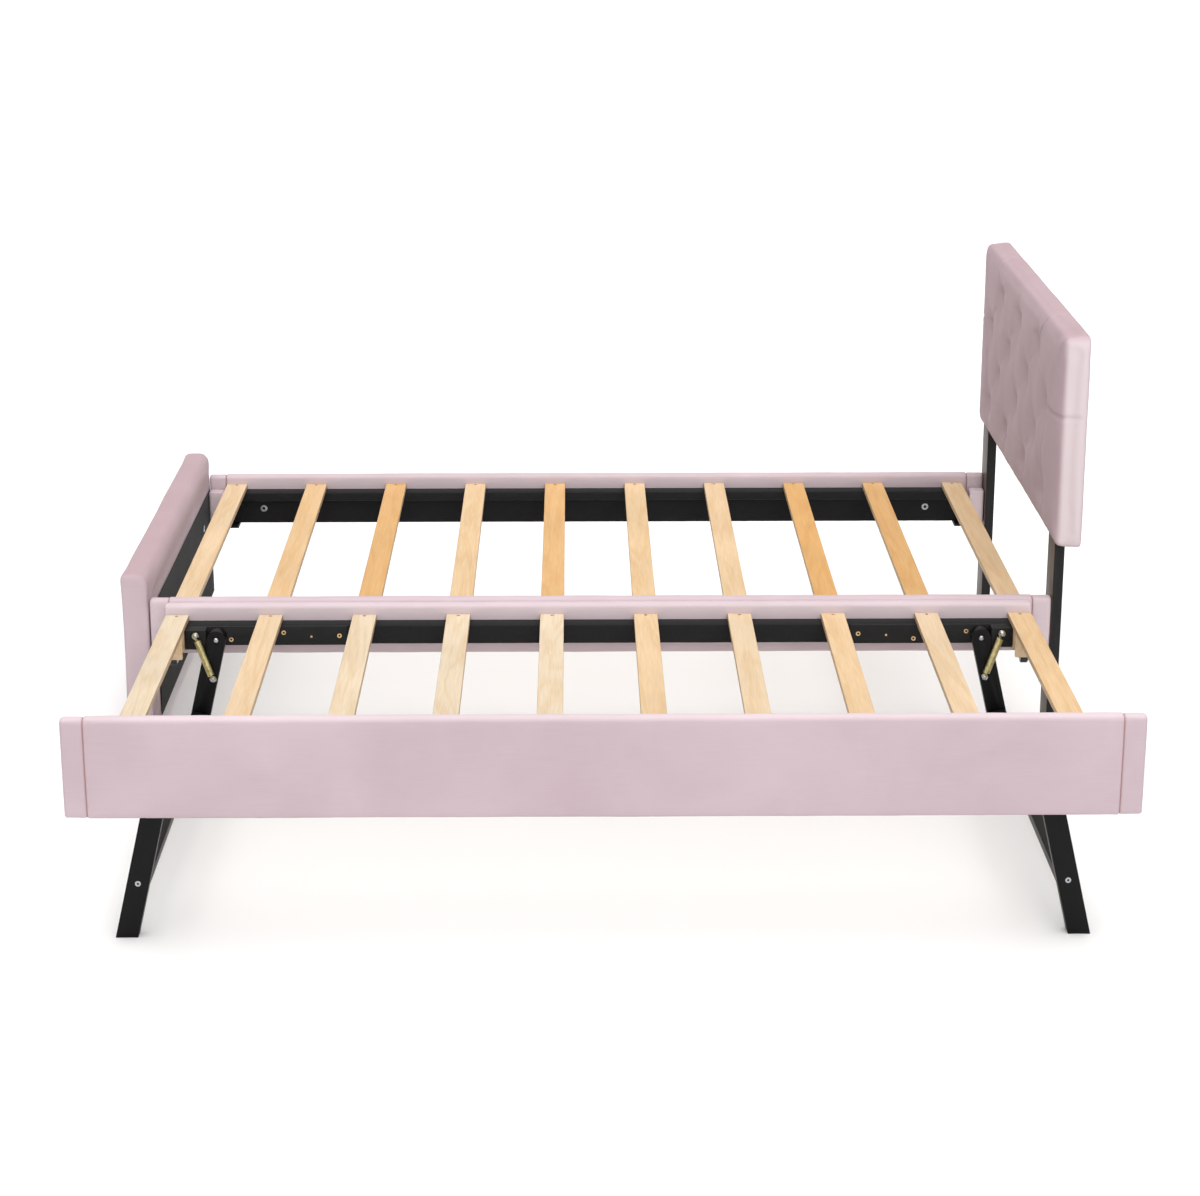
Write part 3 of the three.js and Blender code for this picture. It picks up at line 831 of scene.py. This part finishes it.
# Painted light and shade: sides painted lighter, the top darker, the front and back a little darker.
paint_facing_shade(head.data, 0.60, -0.50, -0.26)
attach(head, "bed")
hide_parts("headboard")
BACK_INSET = 0.018
lining_panel("headboard_back_lining", high.x - 0.0022, low.y + BACK_INSET, high.y - BACK_INSET,
             low.z + BACK_INSET, high.z - BACK_INSET, seed=7.0, thick=0.0016, wave=0.0003)


# Slats. Ten birch veneer boards on each deck, sawn from sheets, so that the faces are pale and flamed and the
# edges show their plies. Each is screwed down at both ends, and no two are quite the same tone.
BED_TONES = (0.32, 0.61, 0.89, 0.45, 0.83, 0.48, 0.41, 0.99, 0.92, 0.44)
TRUNDLE_TONES = (0.00, 0.30, 0.04, 0.03, 0.03, 0.43, 0.23, 0.46, 0.26, 0.52)
PLY = 0.0015


def birch_veneer(name, plies):
    """Peeled birch: long flames and pores along Y, tone from the board, and ply lines on the sawn edges."""
    material, tree, shader = new_material(name, 0.5)
    place = node(tree, "ShaderNodeTexCoord")
    tone = node(tree, "ShaderNodeAttribute", attribute_name="tone")
    apart = node(tree, "ShaderNodeMath", {0: tone.outputs["Fac"], 1: 37.0}, operation="MULTIPLY")
    shift = node(tree, "ShaderNodeCombineXYZ", {"X": apart.outputs["Value"], "Y": apart.outputs["Value"]})
    moved = node(tree, "ShaderNodeVectorMath", {0: place.outputs["Object"], 1: shift.outputs["Vector"]},
                 operation="ADD")
    flame_space = stretched(tree, moved.outputs["Vector"], (13.0, 1.3, 13.0))
    flame = mottle(tree, flame_space.outputs["Vector"], 1.0, 3.0, 0.8)
    rings = node(tree, "ShaderNodeMath", {0: flame.outputs["Fac"], 1: 13.0}, operation="MULTIPLY")
    ring = node(tree, "ShaderNodeMath", {0: rings.outputs["Value"], 1: 1.0}, operation="PINGPONG")
    pore_space = stretched(tree, moved.outputs["Vector"], (420.0, 16.0, 420.0))
    pore = mottle(tree, pore_space.outputs["Vector"], 1.0, 4.0)
    cloud = mottle(tree, moved.outputs["Vector"], 3.5, 2.0)
    board = node(tree, "ShaderNodeValToRGB", {"Fac": tone.outputs["Fac"]})
    board.color_ramp.elements[0].color = (0.56, 0.462, 0.335, 1)
    board.color_ramp.elements[1].color = (0.55, 0.305, 0.100, 1)
    middle = board.color_ramp.elements.new(0.5)
    middle.color = (0.58, 0.405, 0.228, 1)
    figure = node(tree, "ShaderNodeMapRange", {
        "Value": ring.outputs["Value"], "From Min": 0.35, "To Min": 0.0, "To Max": 1.0})
    fleck = node(tree, "ShaderNodeMapRange", {
        "Value": pore.outputs["Fac"], "From Min": 0.35, "From Max": 0.7, "To Min": 0.92, "To Max": 1.05})
    patch = node(tree, "ShaderNodeMapRange", {"Value": cloud.outputs["Fac"], "To Min": 0.86, "To Max": 1.14})
    flamed = node(tree, "ShaderNodeMix", {
        "Factor": figure.outputs["Result"], "A": (1.03, 1.03, 1.03, 1), "B": (0.97, 0.91, 0.82, 1)},
        data_type="RGBA")
    shade = node(tree, "ShaderNodeMath", {0: fleck.outputs["Result"], 1: patch.outputs["Result"]},
                 operation="MULTIPLY")
    tinted = node(tree, "ShaderNodeVectorMath", {0: board.outputs["Color"], 1: flamed.outputs["Result"]},
                  operation="MULTIPLY")
    face = node(tree, "ShaderNodeVectorMath", {0: tinted.outputs["Vector"], 1: shade.outputs["Value"]},
                operation="MULTIPLY")
    colour = face.outputs["Vector"]
    if plies:
        spot = node(tree, "ShaderNodeSeparateXYZ", {"Vector": place.outputs["Object"]})
        layer = node(tree, "ShaderNodeMath", {0: spot.outputs["Z"], 1: PLY}, operation="PINGPONG")
        dark_ply = node(tree, "ShaderNodeMapRange", {
            "Value": layer.outputs["Value"], "From Min": PLY * 0.4, "From Max": PLY * 0.6, "To Min": 0.0,
            "To Max": 1.0})
        facing = node(tree, "ShaderNodeSeparateXYZ", {"Vector": place.outputs["Normal"]})
        flat = node(tree, "ShaderNodeMath", {0: facing.outputs["Z"]}, operation="ABSOLUTE")
        edge = node(tree, "ShaderNodeMath", {0: flat.outputs["Value"], 1: 0.5}, operation="LESS_THAN")
        sawn = node(tree, "ShaderNodeMix", {
            "Factor": dark_ply.outputs["Result"], "A": (0.50, 0.36, 0.21, 1), "B": (0.33, 0.21, 0.11, 1)},
            data_type="RGBA")
        both = node(tree, "ShaderNodeMix", {
            "Factor": edge.outputs["Value"], "A": colour, "B": sawn.outputs["Result"]}, data_type="RGBA")
        colour = both.outputs["Result"]
    tree.links.new(colour, shader.inputs["Base Color"])
    embossed(tree, shader, pore.outputs["Fac"], 0.3, 0.0003)
    return material


def geometry_tree(name, sockets):
    tree = bpy.data.node_groups.new(name, "GeometryNodeTree")
    tree.interface.new_socket("Geometry", in_out="INPUT", socket_type="NodeSocketGeometry")
    for socket, kind, value in sockets:
        made = tree.interface.new_socket(socket, in_out="INPUT", socket_type=kind)
        if value is not None:
            made.default_value = value
    tree.interface.new_socket("Geometry", in_out="OUTPUT", socket_type="NodeSocketGeometry")
    return tree, tree.nodes.new("NodeGroupInput"), tree.nodes.new("NodeGroupOutput")


def board_row_tree():
    """A board at every point, with the point's own tone."""
    tree, given, result = geometry_tree("board_row", [
        ("Size", "NodeSocketVector", (0.05, 1.0, 0.012)), ("Finish", "NodeSocketMaterial", None)])
    board = node(tree, "GeometryNodeMeshCube", {"Size": given.outputs["Size"], "Vertices Y": 40})
    row = node(tree, "GeometryNodeInstanceOnPoints", {
        "Points": given.outputs["Geometry"], "Instance": board.outputs["Mesh"]})
    real = node(tree, "GeometryNodeRealizeInstances", {"Geometry": row.outputs["Instances"]})
    painted = node(tree, "GeometryNodeSetMaterial", {
        "Geometry": real.outputs["Geometry"], "Material": given.outputs["Finish"]})
    tree.links.new(painted.outputs["Geometry"], result.inputs["Geometry"])
    return tree


def grown(name, points, attributes, tree, inputs):
    """Runs a geometry tree on loose points that carry attributes, and gives back a plain mesh object."""
    seeds = bpy.data.meshes.new(name)
    seeds.from_pydata([tuple(p) for p in points], [], [])
    for key, (kind, values) in attributes.items():
        field = "vector" if kind == "FLOAT_VECTOR" else "value"
        flat = [x for v in values for x in v] if field == "vector" else list(values)
        seeds.attributes.new(key, kind, "POINT").data.foreach_set(field, flat)
    piece = new_object(name, seeds)
    modifier = piece.modifiers.new(name, "NODES")
    modifier.node_group = tree
    for item in tree.interface.items_tree:
        if item.item_type == "SOCKET" and item.in_out == "INPUT" and item.name in inputs:
            modifier[item.identifier] = inputs[item.name]
    mesh = evaluated_mesh(piece)
    piece.modifiers.clear()
    piece.data = mesh
    bpy.data.meshes.remove(seeds)
    return piece


birch = birch_veneer("birch_veneer", plies=True)
board_row = board_row_tree()


def slat_deck(name, prefix, tones, body):
    boxes = [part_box(f"{prefix}_{i + 1}") for i in range(len(tones))]
    size = boxes[0][1] - boxes[0][0]
    deck = grown(name, [(lo + hi) / 2 for lo, hi in boxes], {"tone": ("FLOAT", tones)}, board_row,
                 {"Size": size, "Finish": birch})
    eased = deck.modifiers.new("eased", "BEVEL")
    eased.width = 0.0014
    eased.segments = 2
    eased.limit_method = "ANGLE"
    eased.angle_limit = math.radians(60)
    deck.data = evaluated_mesh(deck)
    deck.modifiers.clear()
    for v in deck.data.vertices:
        lie = noise.noise(Vector((v.co.x * 5, v.co.y * 1.5, 3.0)))
        v.co.z -= 0.0004 * max(0.0, lie)
    deck.data.polygons.foreach_set("use_smooth", [False] * len(deck.data.polygons))
    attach(deck, body)
    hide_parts(*[f"{prefix}_{i + 1}" for i in range(len(tones))])
    return boxes


bed_boards = slat_deck("bed_slats", "slat", BED_TONES, "bed")
trundle_boards = slat_deck("trundle_slats", "trundle_slat", TRUNDLE_TONES, "trundle")


# Screws and bolts. Cross-headed screws hold the slats, and sunk ones the steel strips and cross bars. Domed
# socket bolts hold the pivots and springs. Each kind is turned once and set wherever one is driven.
def metal(name, colour, spread, roughness):
    material, tree, shader = new_material(name, roughness, 1.0)
    place = node(tree, "ShaderNodeTexCoord")
    bloom = mottle(tree, place.outputs["Object"], 160.0, 4.0)
    scratch = mottle(tree, place.outputs["Object"], 1500.0, 2.0)
    tint = node(tree, "ShaderNodeValToRGB", {"Fac": bloom.outputs["Fac"]})
    tint.color_ramp.elements[0].position = 0.3
    tint.color_ramp.elements[0].color = (*colour, 1)
    tint.color_ramp.elements[1].position = 0.75
    tint.color_ramp.elements[1].color = (*spread, 1)
    dull = node(tree, "ShaderNodeMapRange", {
        "Value": bloom.outputs["Fac"], "To Min": roughness * 0.75, "To Max": roughness * 1.3})
    tree.links.new(tint.outputs["Color"], shader.inputs["Base Color"])
    tree.links.new(dull.outputs["Result"], shader.inputs["Roughness"])
    embossed(tree, shader, scratch.outputs["Fac"], 0.15, 0.0001)
    return material


bright_zinc = metal("bright_zinc", (0.30, 0.31, 0.33), (0.58, 0.58, 0.60), 0.32)
brass = metal("brass_screw", (0.62, 0.36, 0.16), (0.85, 0.62, 0.36), 0.3)
blued = metal("blued_screw", (0.20, 0.12, 0.07), (0.36, 0.22, 0.13), 0.45)


def turned_head(name, profile, recess_sides, recess_radius, recess_depth, turns=18):
    """A fastener's head turned about +Z from its rim to its crown, with a socket sunk in the crown."""
    verts, faces = [], []
    angles = [2 * math.pi * k / turns for k in range(turns)]
    for radius, height in profile:
        verts += [(radius * math.cos(angle), radius * math.sin(angle), height) for angle in angles]
    for ring in range(len(profile) - 1):
        for k in range(turns):
            a, b = ring * turns + k, ring * turns + (k + 1) % turns
            faces.append((a, b, b + turns, a + turns))
    rim = (len(profile) - 1) * turns
    crown = profile[-1][1]

    def socket(angle):
        if recess_sides == 4:
            return recess_radius * (1.0 if abs(math.sin(2 * angle)) < 0.55 else 0.45)
        side = math.pi / recess_sides
        return recess_radius * math.cos(side) / math.cos((angle % (2 * side)) - side)

    for depth in (0.0, recess_depth):
        verts += [(socket(angle) * math.cos(angle), socket(angle) * math.sin(angle), crown - depth)
                  for angle in angles]
    for start in (rim, rim + turns):
        for k in range(turns):
            a, b = start + k, start + (k + 1) % turns
            faces.append((a, b, b + turns, a + turns))
    faces.append(tuple(rim + 2 * turns + k for k in range(turns)))
    faces.append(tuple(range(turns - 1, -1, -1)))
    mesh = mesh_from(name, verts, faces)
    outward(mesh)
    made = new_object(name, mesh)
    made.hide_render = True
    return made


def fastener_tree():
    """A head at every point, standing along the point's own facing."""
    tree, given, result = geometry_tree("fasteners", [
        ("Head", "NodeSocketObject", None), ("Finish", "NodeSocketMaterial", None)])
    head = node(tree, "GeometryNodeObjectInfo", {"Object": given.outputs["Head"]})
    facing = node(tree, "GeometryNodeInputNamedAttribute", {"Name": "facing"}, data_type="FLOAT_VECTOR")
    spin = node(tree, "GeometryNodeInputNamedAttribute", {"Name": "spin"}, data_type="FLOAT")
    turn = node(tree, "FunctionNodeAxisAngleToRotation", {
        "Axis": (0, 0, 1), "Angle": spin.outputs["Attribute"]})
    stand = node(tree, "FunctionNodeAlignRotationToVector", {
        "Rotation": turn.outputs["Rotation"], "Vector": facing.outputs["Attribute"]}, axis="Z")
    row = node(tree, "GeometryNodeInstanceOnPoints", {
        "Points": given.outputs["Geometry"], "Instance": head.outputs["Geometry"],
        "Rotation": stand.outputs["Rotation"]})
    real = node(tree, "GeometryNodeRealizeInstances", {"Geometry": row.outputs["Instances"]})
    painted = node(tree, "GeometryNodeSetMaterial", {
        "Geometry": real.outputs["Geometry"], "Material": given.outputs["Finish"]})
    tree.links.new(painted.outputs["Geometry"], result.inputs["Geometry"])
    return tree


dome_bolt = turned_head("dome_bolt", [(0.0053, 0.0), (0.0055, 0.0008), (0.0049, 0.0021), (0.0037, 0.0030),
                                      (0.0029, 0.0033)], 6, 0.0025, 0.0020)
cup_screw = turned_head("cup_screw", [(0.0048, -0.0006), (0.0048, 0.0001), (0.0034, 0.0001)], 6,
                        0.0027, 0.0022)
pin_head = turned_head("pin_head", [(0.0022, -0.0006), (0.0022, 0.0001), (0.0012, 0.0001)], 6, 0.0008, 0.0004)
sunk_bolt = turned_head("sunk_bolt", [(0.0054, -0.0006), (0.0054, 0.0001), (0.0036, 0.0001)], 6,
                        0.0024, 0.0018)
flat_screw = turned_head("flat_screw", [(0.0034, 0.0), (0.0036, 0.0003), (0.0032, 0.0006)], 4, 0.0024, 0.0005,
                         turns=16)
ring_bolt = turned_head("ring_bolt", [(0.0085, 0.0), (0.0088, 0.0006), (0.0080, 0.0013), (0.0052, 0.0014)], 6,
                        0.0042, 0.0012)
fasteners = fastener_tree()


def driven(name, head_shape, finish, body, places):
    """One piece for every fastener of a kind on a body. places holds (point, facing) pairs."""
    count = len(places)
    spins = [0.7 * i + 0.4 * math.sin(i * 5.1) for i in range(count)]
    piece = grown(name, [p for p, _ in places], {
        "facing": ("FLOAT_VECTOR", [f for _, f in places]), "spin": ("FLOAT", spins)}, fasteners,
        {"Head": head_shape, "Finish": finish})
    piece.data.polygons.foreach_set("use_smooth", [True] * len(piece.data.polygons))
    piece.data.set_sharp_from_angle(angle=math.radians(38))
    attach(piece, body)
    return piece


UP = (0, 0, 1)
SCREW_FROM_END = 0.011
for name, boards, body in (("bed_slat_screws", bed_boards, "bed"),
                           ("trundle_slat_screws", trundle_boards, "trundle")):
    spots = []
    for lo, hi in boards:
        for y in (lo.y + SCREW_FROM_END, hi.y - SCREW_FROM_END):
            spots.append((((lo.x + hi.x) / 2, y, hi.z - 0.0002), UP))
    driven(name, flat_screw, blued, body, spots)

near_low, near_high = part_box("near_side_rail")
far_low, far_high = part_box("far_side_rail")
foot_inner_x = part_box("footboard")[1].x
RAIL_BOLT_X = 0.824
RAIL_BOLT_Z = 0.258
FOOT_BOLT_Z = 0.246
FOOT_BOLT_INSET = 0.175
corner_bolts = []
for x in (-RAIL_BOLT_X, RAIL_BOLT_X):
    corner_bolts.append(((x, near_high.y + 0.0026, RAIL_BOLT_Z), (0, 1, 0)))
    corner_bolts.append(((x, far_low.y - 0.0026, RAIL_BOLT_Z), (0, -1, 0)))
for y in (near_low.y + FOOT_BOLT_INSET, far_high.y - FOOT_BOLT_INSET):
    corner_bolts.append(((foot_inner_x + 0.0012, y, FOOT_BOLT_Z), (1, 0, 0)))
driven("corner_bolts", ring_bolt, bright_zinc, "bed", corner_bolts)


# Trundle sides. The tall front panel is covered like the rails, with a cap piece at each end, and the low
# rear rail is covered plain. Both carry a lined cleat inside.
PANEL_ROUND = (0.006, 0.006, 0.010, 0.010)
# The last figures paint light and shade by facing: how much lighter the sides and the tops are painted.
upholstered("front_panel_cover", "trundle_front_panel", "trundle", PANEL_ROUND, SEAM_FROM_END, 8.2,
            (0.06, 0.34))
upholstered("rear_rail_cover", "trundle_rear_rail", "trundle", RAIL_ROUND, None, 11.7, (0.42, 0.20))
lined_cleat("trundle_front_cleat_and_lining", "trundle_front_ledger", "trundle_front_panel", "trundle",
            0.0006)
lined_cleat("trundle_rear_cleat_and_lining", "trundle_rear_ledger", "trundle_rear_rail", "trundle", 0.0012)


# Legs. Four hardwood legs with a half-round head turn on the pivots; a bar ties each pair across the deck.
leg_lacquer = lacquered("leg_lacquer", 0.0012, 2)
bar_lacquer = lacquered("bar_lacquer", 0.006, 1)
for side in ("left", "right"):
    for end in ("front", "rear"):
        dressed(f"{end}_{side}_leg", f"{end}_{side}_leg_wood", f"{side}_legs", leg_lacquer,
                sharp=60)
    dressed(f"{side}_cross_bar", f"{side}_cross_bar_wood", f"{side}_legs", bar_lacquer,
            edge=0.002)


# Leg mounts. A black coated steel strip with its stop block, fixed to the cleat by brass screws.
black_coat = moulded("black_coat", 0.006)
for side in ("left", "right"):
    for end in ("front", "rear"):
        dressed(f"{end}_{side}_leg_mount", f"{end}_{side}_mount", "trundle", black_coat,
                edge=0.0008)
STRIP_SCREWS = {"left": ((0.775, 0.277), (0.664, 0.292), (0.547, 0.285)),
                "right": ((0.775, 0.291), (0.664, 0.275), (0.547, 0.286))}
STRIP_PIN = (0.606, 0.283)
STRIP_THICK = 0.0047
joint_at = {j["name"]: Vector(j["pos_m"]) for j in frame["joints"] if "pos_m" in j}
screws, pins, pivots = [], [], []
for side, sign in (("left", -1), ("right", 1)):
    for end, way in (("front", 1), ("rear", -1)):
        mount_low, mount_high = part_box(f"{end}_{side}_leg_mount")
        leg_low, leg_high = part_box(f"{end}_{side}_leg")
        strip_face = mount_low.y + STRIP_THICK if end == "front" else mount_high.y - STRIP_THICK
        for x, z in STRIP_SCREWS[side]:
            screws.append(((sign * x, strip_face, z), (0, way, 0)))
        pins.append(((sign * STRIP_PIN[0], strip_face, STRIP_PIN[1]), (0, way, 0)))
        pin = joint_at[f"{side}_leg_fold"]
        head_y = (leg_high.y if end == "front" else leg_low.y) + way * 0.0004
        pivots.append(((pin.x, head_y, pin.z), (0, way, 0)))
driven("strip_screws", cup_screw, brass, "trundle", screws)
driven("strip_pins", pin_head, brass, "trundle", pins)


# Springs. A close wound tension spring of yellow passivated wire holds each pair of legs open or shut. Its
# hooks hang on two domed bolts, one on the stop block and one on the leg.
WIRE = 0.0013
COIL_RADIUS = 0.0064
COIL_PITCH = 0.0026
COIL_STEPS = 16
HOOK_RADIUS = 0.0062


def sweep(name, path, radius, sides=8):
    """A round wire along a list of points, closed at both ends."""
    verts, faces = [], []
    tangent = (path[1] - path[0]).normalized()
    across = tangent.orthogonal().normalized()
    for i, point in enumerate(path):
        ahead = path[min(i + 1, len(path) - 1)] - path[max(i - 1, 0)]
        new_tangent = ahead.normalized()
        across = (across - new_tangent * across.dot(new_tangent)).normalized()
        other = new_tangent.cross(across)
        for k in range(sides):
            angle = 2 * math.pi * k / sides
            verts.append(point + (across * math.cos(angle) + other * math.sin(angle)) * radius)
    for i in range(len(path) - 1):
        for k in range(sides):
            a, b = i * sides + k, i * sides + (k + 1) % sides
            faces.append((a, b, b + sides, a + sides))
    faces.append(tuple(range(sides - 1, -1, -1)))
    faces.append(tuple((len(path) - 1) * sides + k for k in range(sides)))
    mesh = mesh_from(name, verts, faces)
    outward(mesh)
    mesh.polygons.foreach_set("use_smooth", [True] * len(mesh.polygons))
    return mesh


yellow_zinc = metal("yellow_zinc", (0.36, 0.34, 0.15), (0.70, 0.58, 0.33), 0.3)
spring_ends = {}
for side in ("left", "right"):
    sign = -1 if side == "left" else 1
    top_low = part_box(f"{side}_spring_top")[0]
    end_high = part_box(f"{side}_spring_end")[1]
    top_bolt = joint_at[f"{side}_spring_swing"].copy()
    slide = next(j for j in frame["joints"] if j["name"] == f"{side}_spring_stretch")
    down = Vector(slide["axis"])
    middle_z = (top_low.z + end_high.z) / 2
    half_length = (top_bolt.z - middle_z) / -down.z
    centre = top_bolt + down * half_length
    end_bolt = top_bolt + down * (2 * half_length)
    away = Vector((0, 1, 0))
    aside = down.cross(away)
    coil_half = half_length - HOOK_RADIUS - 0.0035
    turns = round(2 * coil_half / COIL_PITCH)
    path = []
    for k in range(20):
        angle = -0.6 + (math.pi + 0.9) * k / 19
        path.append(top_bolt + (aside * math.cos(angle) - down * math.sin(angle)) * HOOK_RADIUS)
    path += [top_bolt + down * (HOOK_RADIUS + 0.001) - aside * 0.0018, centre - down * (coil_half + 0.0012)]
    steps = turns * COIL_STEPS
    for k in range(steps + 1):
        angle = 2 * math.pi * k / COIL_STEPS
        grow = min(1.0, k / 6, (steps - k) / 6)
        along = -coil_half + 2 * coil_half * k / steps
        round_the_coil = aside * math.cos(angle) + away * math.sin(angle)
        path.append(centre + down * along + round_the_coil * COIL_RADIUS * grow)
    path += [centre + down * (coil_half + 0.0012), end_bolt - down * (HOOK_RADIUS + 0.001) + aside * 0.0018]
    for k in range(20):
        angle = math.pi + 0.3 + (math.pi + 0.6) * k / 19
        path.append(end_bolt + (-aside * math.cos(angle) + down * -math.sin(angle)) * -HOOK_RADIUS)
    coil = new_object(f"{side}_spring_coil", sweep(f"{side}_spring_coil", path, WIRE), [yellow_zinc])
    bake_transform(coil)
    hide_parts(f"{side}_spring_top", f"{side}_spring_end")
    spring_ends[side] = (top_bolt, end_bolt)
    leg_low, leg_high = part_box(f"rear_{side}_leg")
    pivots.append(((top_bolt.x, top_bolt.y - 0.0012, top_bolt.z), (0, -1, 0)))
    bar_low, bar_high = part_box(f"{side}_cross_bar")
    bar_mid = (bar_low + bar_high) / 2
    front_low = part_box(f"front_{side}_leg")[0]
    driven(f"{side}_spring_foot_bolt", dome_bolt, bright_zinc, f"{side}_legs", [
        ((end_bolt.x, end_bolt.y - 0.0012, end_bolt.z), (0, -1, 0))])
    driven(f"{side}_bar_bolts", sunk_bolt, bright_zinc, f"{side}_legs", [
        ((bar_mid.x, front_low.y, bar_mid.z), (0, -1, 0)),
        ((bar_mid.x, leg_high.y, bar_mid.z), (0, 1, 0))])
driven("trundle_bolts", dome_bolt, bright_zinc, "trundle", pivots)


# Spring posts. A short bright spacer stands under each spring bolt, so that the coil clears the pivot as it
# swings over it.
SPACER_RADIUS = 0.0034


def spacer(start, stop):
    count = 16
    verts, faces = [], []
    for y, radius in ((start, SPACER_RADIUS * 1.5), (start + (stop - start) * 0.2, SPACER_RADIUS * 1.5),
                      (start + (stop - start) * 0.24, SPACER_RADIUS), (stop, SPACER_RADIUS)):
        verts += [(radius * math.cos(2 * math.pi * k / count), y, radius * math.sin(2 * math.pi * k / count))
                  for k in range(count)]
    for ring in range(3):
        for k in range(count):
            a, b = ring * count + k, ring * count + (k + 1) % count
            faces.append((a, b, b + count, a + count))
    faces += [tuple(range(count)), tuple(range(4 * count - 1, 3 * count - 1, -1))]
    return verts, faces


for side in ("left", "right"):
    leg_low, leg_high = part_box(f"rear_{side}_leg")
    for where, bolt, body, face in (("top", spring_ends[side][0], "trundle", leg_low.y + 0.0006),
                                    ("end", spring_ends[side][1], f"{side}_legs", leg_low.y)):
        name = f"{side}_spring_{where}_spacer"
        verts, faces = spacer(face, bolt.y - 0.0014)
        mesh = mesh_from(name, [(x + bolt.x, y, z + bolt.z) for x, y, z in verts], faces)
        outward(mesh)
        mesh.polygons.foreach_set("use_smooth", [True] * len(mesh.polygons))
        mesh.set_sharp_from_angle(angle=math.radians(38))
        piece = new_object(name, mesh, [bright_zinc])
        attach(piece, body)


# Casters. A solid birch block under each end slat holds a small fixed caster in a pocket: a bright folded
# bracket, its axle and a black wheel, which carry the deck once the legs are folded.
block_wood = birch_veneer("block_wood", plies=False)
wheel_plastic = moulded("wheel_plastic", 0.03)
for side in ("left", "right"):
    for end in ("front", "rear"):
        stem = f"{end}_{side}"
        block = dressed(f"{stem}_caster_block", f"{stem}_block", "trundle", block_wood)
        tone = block.data.attributes.new("tone", "FLOAT", "POINT")
        tone.data.foreach_set("value", [0.3] * len(block.data.vertices))
        dressed(f"{stem}_caster_bracket", f"{stem}_bracket", "trundle", bright_zinc,
                edge=0.0004)
        dressed(f"{stem}_wheel", f"{stem}_roller", f"{stem}_wheel", wheel_plastic,
                edge=0.0006)


# Studio light. A broad soft sheet overhead and a weaker one from the front, with a pale room all round, leave
# the faces that look along the bed a little darker than those that look at the viewer.
world = bpy.data.worlds.new("studio")
scene.world = world
world.use_nodes = True
tree = world.node_tree
sky_way = node(tree, "ShaderNodeTexCoord")
toward = node(tree, "ShaderNodeSeparateXYZ", {"Vector": sky_way.outputs["Generated"]})
upward = node(tree, "ShaderNodeMath", {0: toward.outputs["Z"], 1: 0.0}, operation="MAXIMUM")
zenith = node(tree, "ShaderNodeMath", {0: upward.outputs["Value"], 1: 3.0}, operation="POWER")
overhead = node(tree, "ShaderNodeMath", {0: zenith.outputs["Value"], 1: 3.5}, operation="MULTIPLY")
in_front = node(tree, "ShaderNodeMapRange", {
    "Value": toward.outputs["Y"], "From Min": 0.0, "From Max": -1.0, "To Min": 0.08, "To Max": 0.43})
glow = node(tree, "ShaderNodeMath", {0: overhead.outputs["Value"], 1: in_front.outputs["Result"]},
            operation="ADD")
sky = tree.nodes["Background"]
sky.inputs["Color"].default_value = (1.0, 0.99, 0.985, 1)
tree.links.new(glow.outputs["Value"], sky.inputs["Strength"])


def soft_box(name, place, target, size, power):
    lamp = bpy.data.lights.new(name, "AREA")
    lamp.shape = "RECTANGLE"
    lamp.size, lamp.size_y = size
    lamp.energy = power
    made = bpy.data.objects.new(name, lamp)
    scene.collection.objects.link(made)
    made.location = place
    made.rotation_euler = (Vector(target) - Vector(place)).to_track_quat("-Z", "Y").to_euler()


soft_box("front", (2.5, -18.0, 8.5), (0.1, 0.0, 0.4), (11.0, 8.0), 1350)

for shape in (dome_bolt, cup_screw, pin_head, sunk_bolt, flat_screw, ring_bolt):
    bpy.data.objects.remove(shape)
